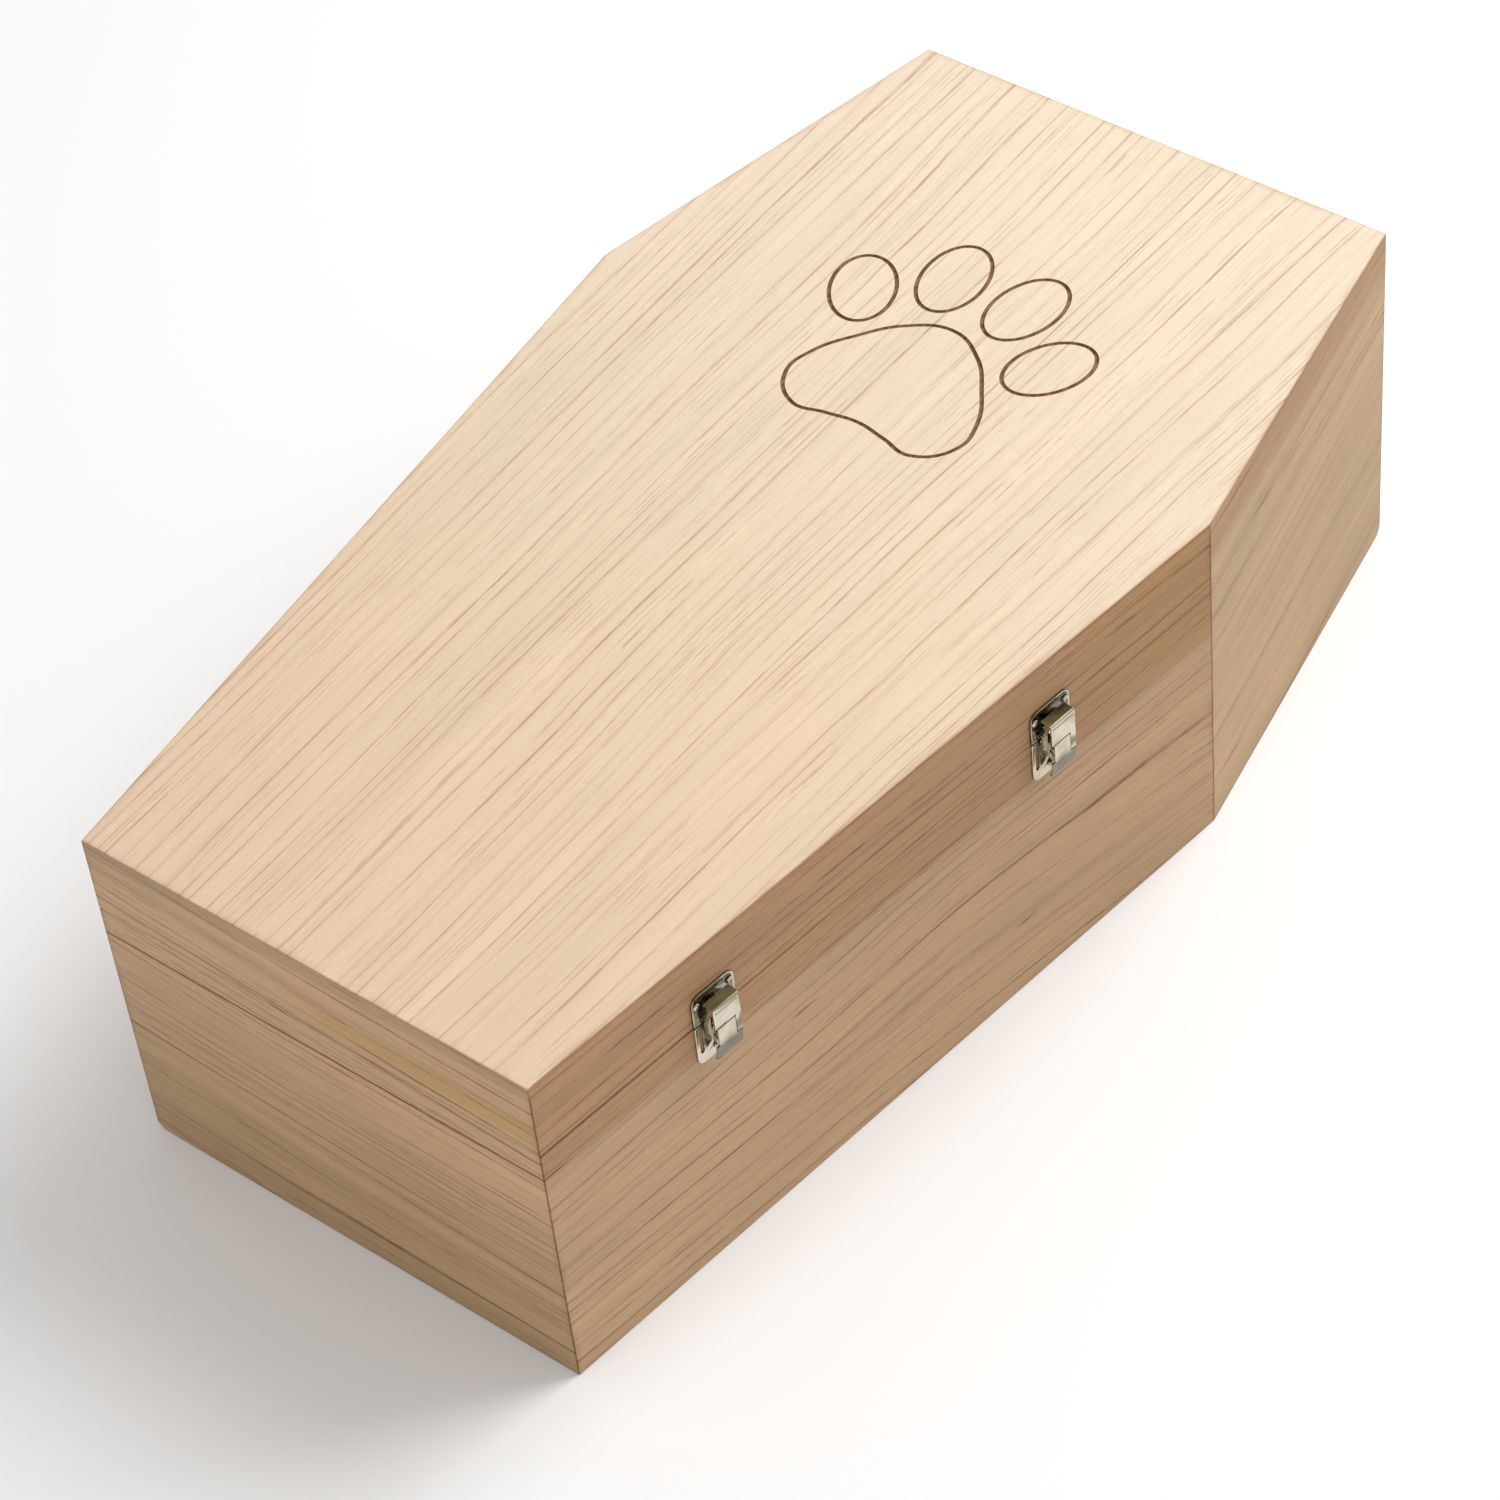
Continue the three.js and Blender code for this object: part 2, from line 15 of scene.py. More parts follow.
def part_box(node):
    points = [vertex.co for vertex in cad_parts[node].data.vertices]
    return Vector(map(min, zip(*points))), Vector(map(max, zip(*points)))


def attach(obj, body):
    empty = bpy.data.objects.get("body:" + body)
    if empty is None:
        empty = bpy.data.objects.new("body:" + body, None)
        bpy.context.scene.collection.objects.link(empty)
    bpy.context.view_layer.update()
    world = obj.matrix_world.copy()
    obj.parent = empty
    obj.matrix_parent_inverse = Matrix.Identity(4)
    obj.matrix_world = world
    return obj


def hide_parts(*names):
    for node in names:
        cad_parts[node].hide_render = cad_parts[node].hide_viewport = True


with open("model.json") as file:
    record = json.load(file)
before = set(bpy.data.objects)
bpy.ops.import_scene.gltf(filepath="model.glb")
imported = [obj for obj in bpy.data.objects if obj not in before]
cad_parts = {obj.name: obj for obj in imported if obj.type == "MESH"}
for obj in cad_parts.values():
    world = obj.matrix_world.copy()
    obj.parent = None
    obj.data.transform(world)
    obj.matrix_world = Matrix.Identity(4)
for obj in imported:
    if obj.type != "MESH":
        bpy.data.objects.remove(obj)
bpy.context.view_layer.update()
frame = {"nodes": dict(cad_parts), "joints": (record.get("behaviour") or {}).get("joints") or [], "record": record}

bl_info = {
    "name": "Wooden pet coffin",
    "version": (1, 0, 0),
    "blender": (4, 5, 0),
    "location": "3D View > Sidebar > Coffin",
    "description": "Finishes the boards, latches and hinges of a wooden pet coffin",
    "category": "Object",
}

MM = 0.001
UP = Vector((0, 0, 1))
SIDES = ("right_side", "right_shoulder", "head_end", "left_shoulder", "left_side", "foot_end")
LATCHES = ("foot_latch", "head_latch")
HINGES = ("foot_hinge", "head_hinge")

# Plan of the box, read from the frame
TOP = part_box("lid_top_board")[1].z
UNDER_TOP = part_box("lid_top_board")[0].z
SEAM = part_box("base_right_side")[1].z
FOOT_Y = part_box("lid_foot_end")[0].y
HEAD_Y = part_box("lid_head_end")[1].y
SHOULDER_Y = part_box("lid_right_side")[1].y
HALF_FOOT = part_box("lid_foot_end")[1].x
HALF_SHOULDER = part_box("lid_top_board")[1].x
HALF_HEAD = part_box("lid_head_end")[1].x

# Camera of the photograph
CAMERA_AIM = (0.00664, -0.03269, 0.08058)
CAMERA_AZIMUTH = 42.342
CAMERA_ELEVATION = 46.239
CAMERA_ROLL = -6.736
CAMERA_DISTANCE = 2.40577
CAMERA_LENS = 111.838


def plan_corners():
    """Corners of the box seen from above, anticlockwise from the right foot corner."""
    right = [(HALF_FOOT, FOOT_Y), (HALF_SHOULDER, SHOULDER_Y), (HALF_HEAD, HEAD_Y)]
    left = [(-x, y) for x, y in reversed(right)]
    return [Vector((x, y, 0)) for x, y in right + left]


def side_direction(index):
    corners = plan_corners()
    return (corners[(index + 1) % len(corners)] - corners[index]).normalized()


def linear(code):
    """A screen colour such as "e6cfae" as the four numbers that a shader takes."""
    values = [int(code[i : i + 2], 16) / 255 for i in (0, 2, 4)]
    return (*[v / 12.92 if v <= 0.04045 else ((v + 0.055) / 1.055) ** 2.4 for v in values], 1.0)


def colour_property(name, description, code):
    return FloatVectorProperty(
        name=name,
        description=description,
        subtype="COLOR",
        size=4,
        min=0,
        max=1,
        default=linear(code),
    )


def length_property(name, description, millimetres):
    return FloatProperty(
        name=name,
        description=description,
        default=millimetres * MM,
        min=0,
        subtype="DISTANCE",
        unit="LENGTH",
    )


def share_property(name, description, share):
    return FloatProperty(
        name=name,
        description=description,
        default=share,
        min=0,
        max=1,
        subtype="FACTOR",
    )


def power_property(name, description, watts):
    return FloatProperty(
        name=name,
        description=description,
        default=watts,
        min=0,
        subtype="POWER",
        unit="POWER",
    )


class CoffinWood(bpy.types.PropertyGroup):
    """Colours of the boards."""

    # The top board's wood is painted lighter from the foot end to the head end: painted light falling from the
    # head end.
    top_foot_painted_shade: colour_property("Top board at the foot", "Wood of the top board at the foot end", "dfc4a7")
    top_head_painted_light: colour_property("Top board at the head", "Wood of the top board at the head end", "e4d2ba")
    top_line: colour_property("Top board lines", "Growth lines of the top board", "a8795a")
    wall: colour_property("Walls", "Wood of the walls", "be9c77")
    wall_dark: colour_property("Dark wood", "Tint of the darker upper part of the walls", "efdfd2")
    wall_line: colour_property("Wall lines", "Growth lines of the walls", "6e3c1e")
    scorch: colour_property("Engraving", "Burnt wood in the engraved paw print", "8f6c45")
    groove_width: length_property("Groove width", "Width of the engraved line", 2.3)


class CoffinMetal(bpy.types.PropertyGroup):
    """Metal of the latches, hinges, screws and pins."""

    nickel: colour_property("Nickel", "Colour of the bright nickel plate", "d6cfbe")
    nickel_roughness: share_property("Nickel roughness", "How dull the nickel plate is", 0.2)
    steel: colour_property("Steel", "Colour of the plain steel pins", "9a958a")
    steel_roughness: share_property("Steel roughness", "How dull the steel pins are", 0.32)


class CoffinStage(bpy.types.PropertyGroup):
    """Light and floor around the coffin."""

    floor: colour_property("Floor", "Colour of the floor", "f7f7f7")
    surroundings: colour_property("Surroundings", "Colour of the light from all round", "ffffff")
    fill: FloatProperty(
        name="Fill",
        description="Strength of the light from all round",
        default=0.55,
        min=0,
    )
    key_power: power_property("Key light", "Power of the soft light over the head end", 62)
    foot_power: power_property("Foot light", "Power of the soft light beyond the foot end", 8.4)


class Graph:
    """Short ways to add nodes to a material or to a node group."""

    def __init__(self, tree):
        self.tree = tree

    def feed(self, socket, value):
        if isinstance(value, bpy.types.NodeSocket):
            self.tree.links.new(value, socket)
        else:
            socket.default_value = value

    def add(self, kind, inputs, **settings):
        node = self.tree.nodes.new(kind)
        for name, value in settings.items():
            setattr(node, name, value)
        for key, value in inputs.items():
            self.feed(node.inputs[key], value)
        return node

    def calc(self, operation, a, b=0.0, c=0.0):
        return self.add("ShaderNodeMath", {0: a, 1: b, 2: c}, operation=operation).outputs[0]

    def centred(self, value):
        return self.calc("SUBTRACT", value, 0.5)

    def fade(self, value, low, high, at_low=0.0, at_high=1.0):
        """at_low up to low, at_high from high, and a smooth change between them."""
        inputs = {"Value": value, "From Min": low, "From Max": high, "To Min": at_low, "To Max": at_high}
        return self.add("ShaderNodeMapRange", inputs, interpolation_type="SMOOTHSTEP").outputs["Result"]

    def mix(self, share, a, b, way="MIX"):
        """b over a, by share."""
        node = self.add("ShaderNodeMix", {}, data_type="RGBA", blend_type=way)
        node.clamp_factor = True
        factor, first, second = node.inputs[0], node.inputs[6], node.inputs[7]
        for socket, value in ((factor, share), (first, a), (second, b)):
            self.feed(socket, value)
        return node.outputs[2]

    def stretched(self, place, along, across, through, shift=(0, 0, 0)):
        """A place divided by the length of the pattern each way."""
        inputs = {"Vector": place, "Scale": (1 / along, 1 / across, 1 / through), "Location": shift}
        return self.add("ShaderNodeMapping", inputs).outputs["Vector"]

    def noise(self, vector, detail=2.0, roughness=0.5):
        inputs = {"Vector": vector, "Scale": 1.0, "Detail": detail, "Roughness": roughness}
        return self.add("ShaderNodeTexNoise", inputs).outputs["Fac"]

    def dot(self, vector, way):
        inputs = {0: vector, 1: way}
        return self.add("ShaderNodeVectorMath", inputs, operation="DOT_PRODUCT").outputs["Value"]

    def relief(self, height, strength, millimetres):
        inputs = {"Height": height, "Strength": strength, "Distance": millimetres * MM}
        return self.add("ShaderNodeBump", inputs).outputs["Normal"]

    def parts(self, vector):
        return self.add("ShaderNodeSeparateXYZ", {"Vector": vector}).outputs

    def joined(self, x, y, z):
        return self.add("ShaderNodeCombineXYZ", {"X": x, "Y": y, "Z": z}).outputs["Vector"]


def new_group(name, inputs, outputs):
    """A shader node group: inputs and outputs are (name, kind, default)."""
    group = bpy.data.node_groups.new(name, "ShaderNodeTree")
    for in_out, sockets in (("INPUT", inputs), ("OUTPUT", outputs)):
        for label, kind, default in sockets:
            socket = group.interface.new_socket(label, in_out=in_out, socket_type=kind)
            if default is not None:
                socket.default_value = default
    return group, group.nodes.new("NodeGroupInput").outputs, group.nodes.new("NodeGroupOutput").inputs


def grain_group():
    """Straight-grained pale wood. Grain is a place in millimetres: along, across and through."""
    found = bpy.data.node_groups.get("Straight grain")
    if found:
        return found
    number, colour, vector = "NodeSocketFloat", "NodeSocketColor", "NodeSocketVector"
    group, given, result = new_group(
        "Straight grain",
        [
            ("Grain", vector, None),
            ("Wood", colour, (1, 1, 1, 1)),
            ("Line", colour, (0, 0, 0, 1)),
            ("Spacing", number, 11.0),
            ("Lines", number, 0.6),
            ("Fine Lines", number, 0.4),
            ("Bands", number, 1.0),
            ("Fibres", number, 1.0),
            ("Waviness", number, 1.0),
        ],
        [("Colour", colour, None), ("Height", number, None), ("Roughness", number, None)],
    )
    g = Graph(group)
    place = given["Grain"]
    along, across, through = g.parts(place)

    drift = g.centred(g.noise(g.stretched(place, 420, 150, 150), 1))
    ripple = g.centred(g.noise(g.stretched(place, 110, 30, 60), 2))
    swing = g.calc("MULTIPLY_ADD", drift, 34.0, g.calc("MULTIPLY", ripple, 6.0))
    level = g.calc("MULTIPLY_ADD", swing, given["Waviness"], across)
    flow = g.joined(along, level, through)

    # Growth lines, closer together here and wider apart there, broken into dashes
    crowding = g.noise(g.stretched(flow, 2000, 42, 200, (6, 3, 2)), 2)
    crowded = g.calc("MULTIPLY_ADD", crowding, 46.0, level)

    def lines(spacing, soft, shift):
        where = g.calc("DIVIDE", g.calc("ADD", crowded, shift), spacing)
        edge = g.add(
            "ShaderNodeTexVoronoi",
            {"W": where, "Scale": 1.0, "Randomness": 1.0},
            voronoi_dimensions="1D",
            feature="DISTANCE_TO_EDGE",
        ).outputs["Distance"]
        return g.fade(g.calc("MULTIPLY", edge, spacing), soft * 0.25, soft, 1.0, 0.0)

    def dashes(length, thickness, low, high, shift, least=0.0):
        place = g.stretched(flow, length, thickness, 30, shift)
        return g.fade(g.noise(place, 2, 0.6), low, high, least, 1.0)

    main = lines(given["Spacing"], 0.72, 0.0)
    main = g.calc("MULTIPLY", main, dashes(20, 1.6, 0.36, 0.6, (3, 5, 1), 0.45))
    main = g.calc("MULTIPLY", main, dashes(260, 4, 0.32, 0.66, (9, 2, 4), 0.06))
    fine = lines(g.calc("MULTIPLY", given["Spacing"], 0.34), 0.5, 3.7)
    fine = g.calc("MULTIPLY", fine, dashes(22, 1.4, 0.4, 0.62, (7, 1, 8)))
    fine = g.calc("MULTIPLY", fine, dashes(150, 11, 0.4, 0.62, (2, 8, 3)))
    pores = dashes(6.5, 0.5, 0.62, 0.74, (5, 5, 5))
    halo = g.calc("MULTIPLY", lines(given["Spacing"], 3.4, 0.0), dashes(160, 8, 0.35, 0.65, (1, 4, 6)))

    band = g.centred(g.noise(g.stretched(flow, 560, 17, 60), 5, 0.68))
    patch = g.centred(g.noise(g.stretched(flow, 150, 55, 60, (4, 4, 4)), 2))
    fibre = g.noise(g.stretched(flow, 38, 0.9, 12), 3, 0.65)
    speck = g.noise(g.stretched(flow, 4.5, 0.8, 4), 2, 0.6)

    broad = g.calc("MULTIPLY_ADD", band, 0.46, g.calc("MULTIPLY", patch, 0.24))
    broad = g.calc("MULTIPLY", broad, given["Bands"])
    thin = g.calc("MULTIPLY_ADD", g.centred(fibre), 0.30, g.calc("MULTIPLY", g.centred(speck), 0.22))
    tone = g.calc("MULTIPLY_ADD", thin, given["Fibres"], g.calc("ADD", broad, 1.0))
    redder = g.calc("MULTIPLY_ADD", patch, -0.06, tone)
    toned = g.mix(1.0, given["Wood"], g.joined(tone, redder, redder), "MULTIPLY")
    toned = g.mix(g.calc("MULTIPLY", halo, 0.07), toned, given["Line"])
    toned = g.mix(g.calc("MULTIPLY", pores, 0.12), toned, given["Line"])
    toned = g.mix(g.calc("MULTIPLY", fine, given["Fine Lines"]), toned, given["Line"])
    toned = g.mix(g.calc("MULTIPLY", main, given["Lines"]), toned, given["Line"])

    depth = g.calc("MULTIPLY_ADD", main, 0.6, g.calc("MULTIPLY", pores, 0.3))
    depth = g.calc("MULTIPLY_ADD", fine, 0.35, depth)
    height = g.calc("MULTIPLY_ADD", fibre, 0.35, g.calc("MULTIPLY", main, -0.6))
    rough = g.calc("MULTIPLY_ADD", fibre, 0.16, g.calc("MULTIPLY", depth, 0.12))
    g.feed(result["Colour"], toned)
    g.feed(result["Height"], height)
    g.feed(result["Roughness"], g.calc("ADD", rough, 0.46))
    return group


def new_material(name):
    material = bpy.data.materials.new(name)
    material.use_nodes = True
    material.node_tree.nodes.clear()
    g = Graph(material.node_tree)
    shader = g.add("ShaderNodeBsdfPrincipled", {})
    g.add("ShaderNodeOutputMaterial", {"Surface": shader.outputs["BSDF"]})
    return material, g, shader


def board_place(g, along, across):
    """The place on a board in millimetres: along the grain, across it and through the board."""
    turn = Matrix((along, across, along.cross(across))).to_euler()
    here = g.add("ShaderNodeTexCoord", {}).outputs["Object"]
    inputs = {"Vector": here, "Rotation": turn, "Scale": (1, 1, 1)}
    turned = g.add("ShaderNodeMapping", inputs).outputs["Vector"]
    return g.add("ShaderNodeVectorMath", {0: turned, 3: 1 / MM}, operation="SCALE").outputs[0]


def finish_wood(g, shader, place, values):
    """Lays the grain at a place on the board. Gives its colour, which takes further marks."""
    grain = g.add("ShaderNodeGroup", {}, node_tree=grain_group())
    g.feed(grain.inputs["Grain"], place)
    for socket, value in values.items():
        g.feed(grain.inputs[socket], value)
    g.feed(shader.inputs["Roughness"], grain.outputs["Roughness"])
    g.feed(shader.inputs["Normal"], g.relief(grain.outputs["Height"], 0.35, 0.2))
    shader.inputs["Specular IOR Level"].default_value = 0.35
    return grain.outputs["Colour"]


def edge_group():
    """Handled edges: a thin dark line at the very edge and a faint stain beside it."""
    found = bpy.data.node_groups.get("Handled edges")
    if found:
        return found
    number, colour = "NodeSocketFloat", "NodeSocketColor"
    group, given, result = new_group(
        "Handled edges",
        [("Colour", colour, (1, 1, 1, 1)), ("Distance", number, 0.0), ("Grain", "NodeSocketVector", None)],
        [("Colour", colour, None)],
    )
    g = Graph(group)
    uneven = g.noise(g.stretched(given["Grain"], 26, 26, 26), 3)
    line = g.fade(given["Distance"], 0.3, 1.1, 0.5, 0.0)
    stain = g.calc("MULTIPLY", g.fade(given["Distance"], 0.5, 5.0, 0.35, 0.0), g.fade(uneven, 0.35, 0.65))
    worn = g.mix(stain, given["Colour"], linear("d8c4ac"), "MULTIPLY")
    g.feed(result["Colour"], g.mix(line, worn, linear("b08f6c"), "MULTIPLY"))
    return group


def handled(g, shader, colour, distance, place):
    inputs = {"Colour": colour, "Distance": distance, "Grain": place}
    node = g.add("ShaderNodeGroup", {}, node_tree=edge_group())
    for socket, value in inputs.items():
        g.feed(node.inputs[socket], value)
    g.feed(shader.inputs["Base Color"], node.outputs["Colour"])


# More millimetres than any place on the box is from an edge
FAR = 1000.0


def plan_distance(g, place):
    """How far a place on the top board is from the nearest edge of the plan."""
    nearest = FAR
    for index, corner in enumerate(plan_corners()):
        inward = UP.cross(side_direction(index))
        forward, leftward = inward.y, -inward.x
        reach = g.dot(place, (forward, leftward, 0))
        nearest = g.calc("MINIMUM", nearest, g.calc("SUBTRACT", reach, inward.dot(corner) / MM))
    return nearest


# How much further apart the top board's lines are at the head than at the foot
TOP_FAN = 0.22


def top_wood():
    paint = bpy.context.scene.coffin_wood
    material, g, shader = new_material("top board wood")
    place = board_place(g, Vector((0, 1, 0)), Vector((-1, 0, 0)))
    along, across, through = g.parts(place)
    fan = g.calc("MULTIPLY_ADD", along, -TOP_FAN / (HEAD_Y - FOOT_Y) * MM, 1.0)
    spread = g.joined(along, g.calc("MULTIPLY", across, fan), through)
    # Painted light: the top board lightens towards the head end.
    tone = g.mix(g.fade(along, FOOT_Y / MM, HEAD_Y / MM), paint.top_foot_painted_shade, paint.top_head_painted_light)
    values = {"Wood": tone, "Line": paint.top_line, "Spacing": 9.0, "Lines": 0.72, "Fine Lines": 0.5}
    values.update({"Bands": 0.5, "Fibres": 0.8, "Waviness": 0.6})
    colour = finish_wood(g, shader, spread, values)
    handled(g, shader, colour, plan_distance(g, place), place)
    return material


def scorched_wood():
    paint = bpy.context.scene.coffin_wood
    material, g, shader = new_material("scorched groove")
    place = board_place(g, Vector((0, 1, 0)), Vector((-1, 0, 0)))
    mottle = g.noise(g.stretched(place, 6, 2, 2), 3)
    darker = g.mix(1.0, paint.scorch, linear("b89c80"), "MULTIPLY")
    g.feed(shader.inputs["Base Color"], g.mix(g.fade(mottle, 0.35, 0.65), darker, paint.scorch))
    g.feed(shader.inputs["Roughness"], g.fade(mottle, 0.2, 0.8, 0.7, 0.9))
    g.feed(shader.inputs["Normal"], g.relief(mottle, 0.4, 0.2))
    return material


class WallMarks:
    """Marks on one side of the box: s runs along it from its first corner, z up, in millimetres."""

    def __init__(self, g, s, z, place, colour, line):
        self.g, self.s, self.z, self.place, self.colour, self.line = g, s, z, place, colour, line

    def tint(self, mask, share, code):
        self.colour = self.g.mix(self.g.calc("MULTIPLY", mask, share), self.colour, linear(code), "MULTIPLY")

    def streak(self, start, end, height, half_height, share, slope=0.0):
        """A dark ragged streak along the grain."""
        g = self.g
        ragged = g.centred(g.noise(g.stretched(self.place, 9, 1.5, 9), 2))
        rise = g.calc("MULTIPLY_ADD", self.s, -slope, g.calc("SUBTRACT", self.z, height))
        up = g.calc("DIVIDE", g.calc("MULTIPLY_ADD", ragged, half_height, rise), half_height)
        way = g.calc("DIVIDE", g.calc("SUBTRACT", self.s, (start + end) / 2), (end - start) / 2)
        reach = g.calc("SQRT", g.calc("MULTIPLY_ADD", way, way, g.calc("MULTIPLY", up, up)))
        self.colour = g.mix(g.fade(reach, 0.1, 1.0, share, 0.0), self.colour, self.line)


def right_side_marks(marks):
    """Darker to the shoulder and amber in its top corner, with dark dashes and a line at the seam."""
    g = marks.g
    marks.tint(g.fade(marks.s, 60, 380), 1.0, "f2f1ee")
    amber = g.calc("MULTIPLY", g.fade(marks.s, 320, 420), g.fade(marks.z, 138, 150))
    marks.tint(amber, 1.0, "fdfceb")
    marks.streak(156, 184, 119, 1.6, 0.75)
    marks.streak(314, 336, 48, 1.3, 0.7)
    marks.streak(-12, 24, 150.5, 1.1, 1.0)
    marks.streak(-300, 330, 167.2, 1.0, 0.85)


def right_shoulder_marks(marks):
    """Redder under the top edge, with a few dark dashes."""
    g = marks.g
    marks.tint(g.fade(marks.z, -10, 0), 1.0, "f3f6f5")
    marks.tint(g.fade(marks.z, 184, 196), 0.9, "ecdccf")
    marks.streak(48, 92, 171, 1.0, 0.8)
    marks.streak(78, 130, 170.5, 0.9, 0.75)
    marks.streak(2, 50, 27, 2.2, 0.5)
    marks.streak(-10, 80, 209, 1.6, 0.6)


def foot_end_marks(marks):
    """Grey under the top edge and darker towards the floor as painted shade, with a yellowish patch and two dark
    lines.
    """
    g, length = marks.g, 2 * HALF_FOOT / MM
    marks.tint(g.fade(marks.z, 203, 211), 0.8, "dcdedc")
    # Painted shade: the wall darkens towards the floor.
    marks.tint(g.fade(marks.z, 160, 10), 1.0, "e5e5dd")
    patch = g.calc("MULTIPLY", g.fade(marks.z, 168, 178), g.fade(marks.z, 192, 184))
    marks.tint(g.calc("MULTIPLY", patch, g.fade(marks.s, 110, 160)), 0.8, "fbf2d2")
    marks.streak(-2 * length, 3 * length, 150.5, 1.3, 1.0)
    marks.streak(-length, 2 * length, 177, 0.9, 0.6, -0.055)


def no_marks(marks):
    """The sides that face away stay plain."""


DARK_WOOD = {"height": 149, "slope": 0.023}
# How far on in the grain each wall starts, along and across, in millimetres
WALL_SHIFT = (640.0, 211.0)
PLAIN_WALL = {
    "slope": 0.0,
    "low_slope": 0.0,
    "spacing": 12.0,
    "lines": 0.6,
    "fine": 0.4,
    "bands": 1.2,
    "waves": 0.6,
    "marks": no_marks,
}
LONG_WALL = {"low_slope": 0.07, "spacing": 11.0, "lines": 0.85, "fine": 0.5, "waves": 0.8}
SHOULDER_WALL = {"slope": -0.05, "low_slope": -0.05, "spacing": 14.0, "lines": 0.45, "fine": 0.3}
FOOT_WALL = {"slope": 0.055, "low_slope": 0.055, "spacing": 10.0, "lines": 0.85, "fine": 0.65}
WALL_STYLES = {
    "right_side": {**PLAIN_WALL, **LONG_WALL, "marks": right_side_marks},
    "right_shoulder": {**PLAIN_WALL, **SHOULDER_WALL, "bands": 1.4, "marks": right_shoulder_marks},
    "foot_end": {**PLAIN_WALL, **FOOT_WALL, "bands": 1.3, "marks": foot_end_marks},
}


def wall_wood(index):
    """Wood of one side of the box, with the grain level and unbroken across the seam."""
    paint = bpy.context.scene.coffin_wood
    side = SIDES[index]
    name = f"{side} wood".replace("_", " ")
    found = bpy.data.materials.get(name)
    if found:
        return found
    material, g, shader = new_material(name)
    direction, corners = side_direction(index), plan_corners()
    place = board_place(g, direction, UP)
    along, z, through = g.parts(place)
    start = direction.dot(corners[index]) / MM
    length = (corners[(index + 1) % len(corners)] - corners[index]).length / MM
    s = g.calc("SUBTRACT", along, start)
    style = WALL_STYLES.get(side, PLAIN_WALL)
    low_down = g.calc("MULTIPLY", s, g.fade(z, 130, 40, style["slope"], style["low_slope"]))
    level = g.calc("ADD", low_down, z)
    moved_along = g.calc("ADD", along, WALL_SHIFT[0] * (index + 1))
    grain = g.joined(moved_along, g.calc("ADD", level, WALL_SHIFT[1] * (index + 1)), through)
    tone, fine = paint.wall, style["fine"]
    if side == "right_side":
        border = g.calc("MULTIPLY_ADD", s, DARK_WOOD["slope"], z)
        upper = g.fade(border, DARK_WOOD["height"] - 5, DARK_WOOD["height"] + 5)
        tone = g.mix(upper, paint.wall, g.mix(1.0, paint.wall, paint.wall_dark, "MULTIPLY"))
        fine = g.fade(border, DARK_WOOD["height"] - 12, DARK_WOOD["height"] + 8, style["fine"], 0.9)
    values = {"Wood": tone, "Line": paint.wall_line, "Spacing": style["spacing"], "Lines": style["lines"]}
    values.update({"Fine Lines": fine, "Bands": style["bands"], "Fibres": 1.1, "Waviness": style["waves"]})
    colour = finish_wood(g, shader, grain, values)
    marks = WallMarks(g, s, z, place, colour, paint.wall_line)
    style["marks"](marks)
    ends = g.calc("MINIMUM", s, g.calc("SUBTRACT", length, s))
    rims = g.calc("MINIMUM", z, g.calc("SUBTRACT", TOP / MM, z))
    handled(g, shader, marks.colour, g.calc("MINIMUM", ends, rims), place)
    return material


def floor_wood():
    paint = bpy.context.scene.coffin_wood
    material, g, shader = new_material("floor board wood")
    place = board_place(g, Vector((0, 1, 0)), Vector((-1, 0, 0)))
    values = {"Wood": paint.wall, "Line": paint.wall_line, "Spacing": 14.0, "Lines": 0.4, "Fine Lines": 0.3}
    colour = finish_wood(g, shader, place, values)
    handled(g, shader, colour, plan_distance(g, place), place)
    return material


def pressed_in(g, here):
    """Where the middle of a catch plate lies, below its rim and above the seam: the mask of the painted shade in
    the recess.
    """
    outward = side_direction(0).cross(UP)
    wall = outward.dot(plan_corners()[0])
    height = g.calc("SUBTRACT", g.dot(here, outward), wall)
    low, rim = (FACE - 0.7 * PLATE_SINK) * MM, (FACE - 0.2 * PLATE_SINK) * MM
    above = g.fade(g.parts(here)[2], SEAM, SEAM + MM)
    return g.calc("MULTIPLY", g.fade(height, low, rim, 1.0, 0.0), above)


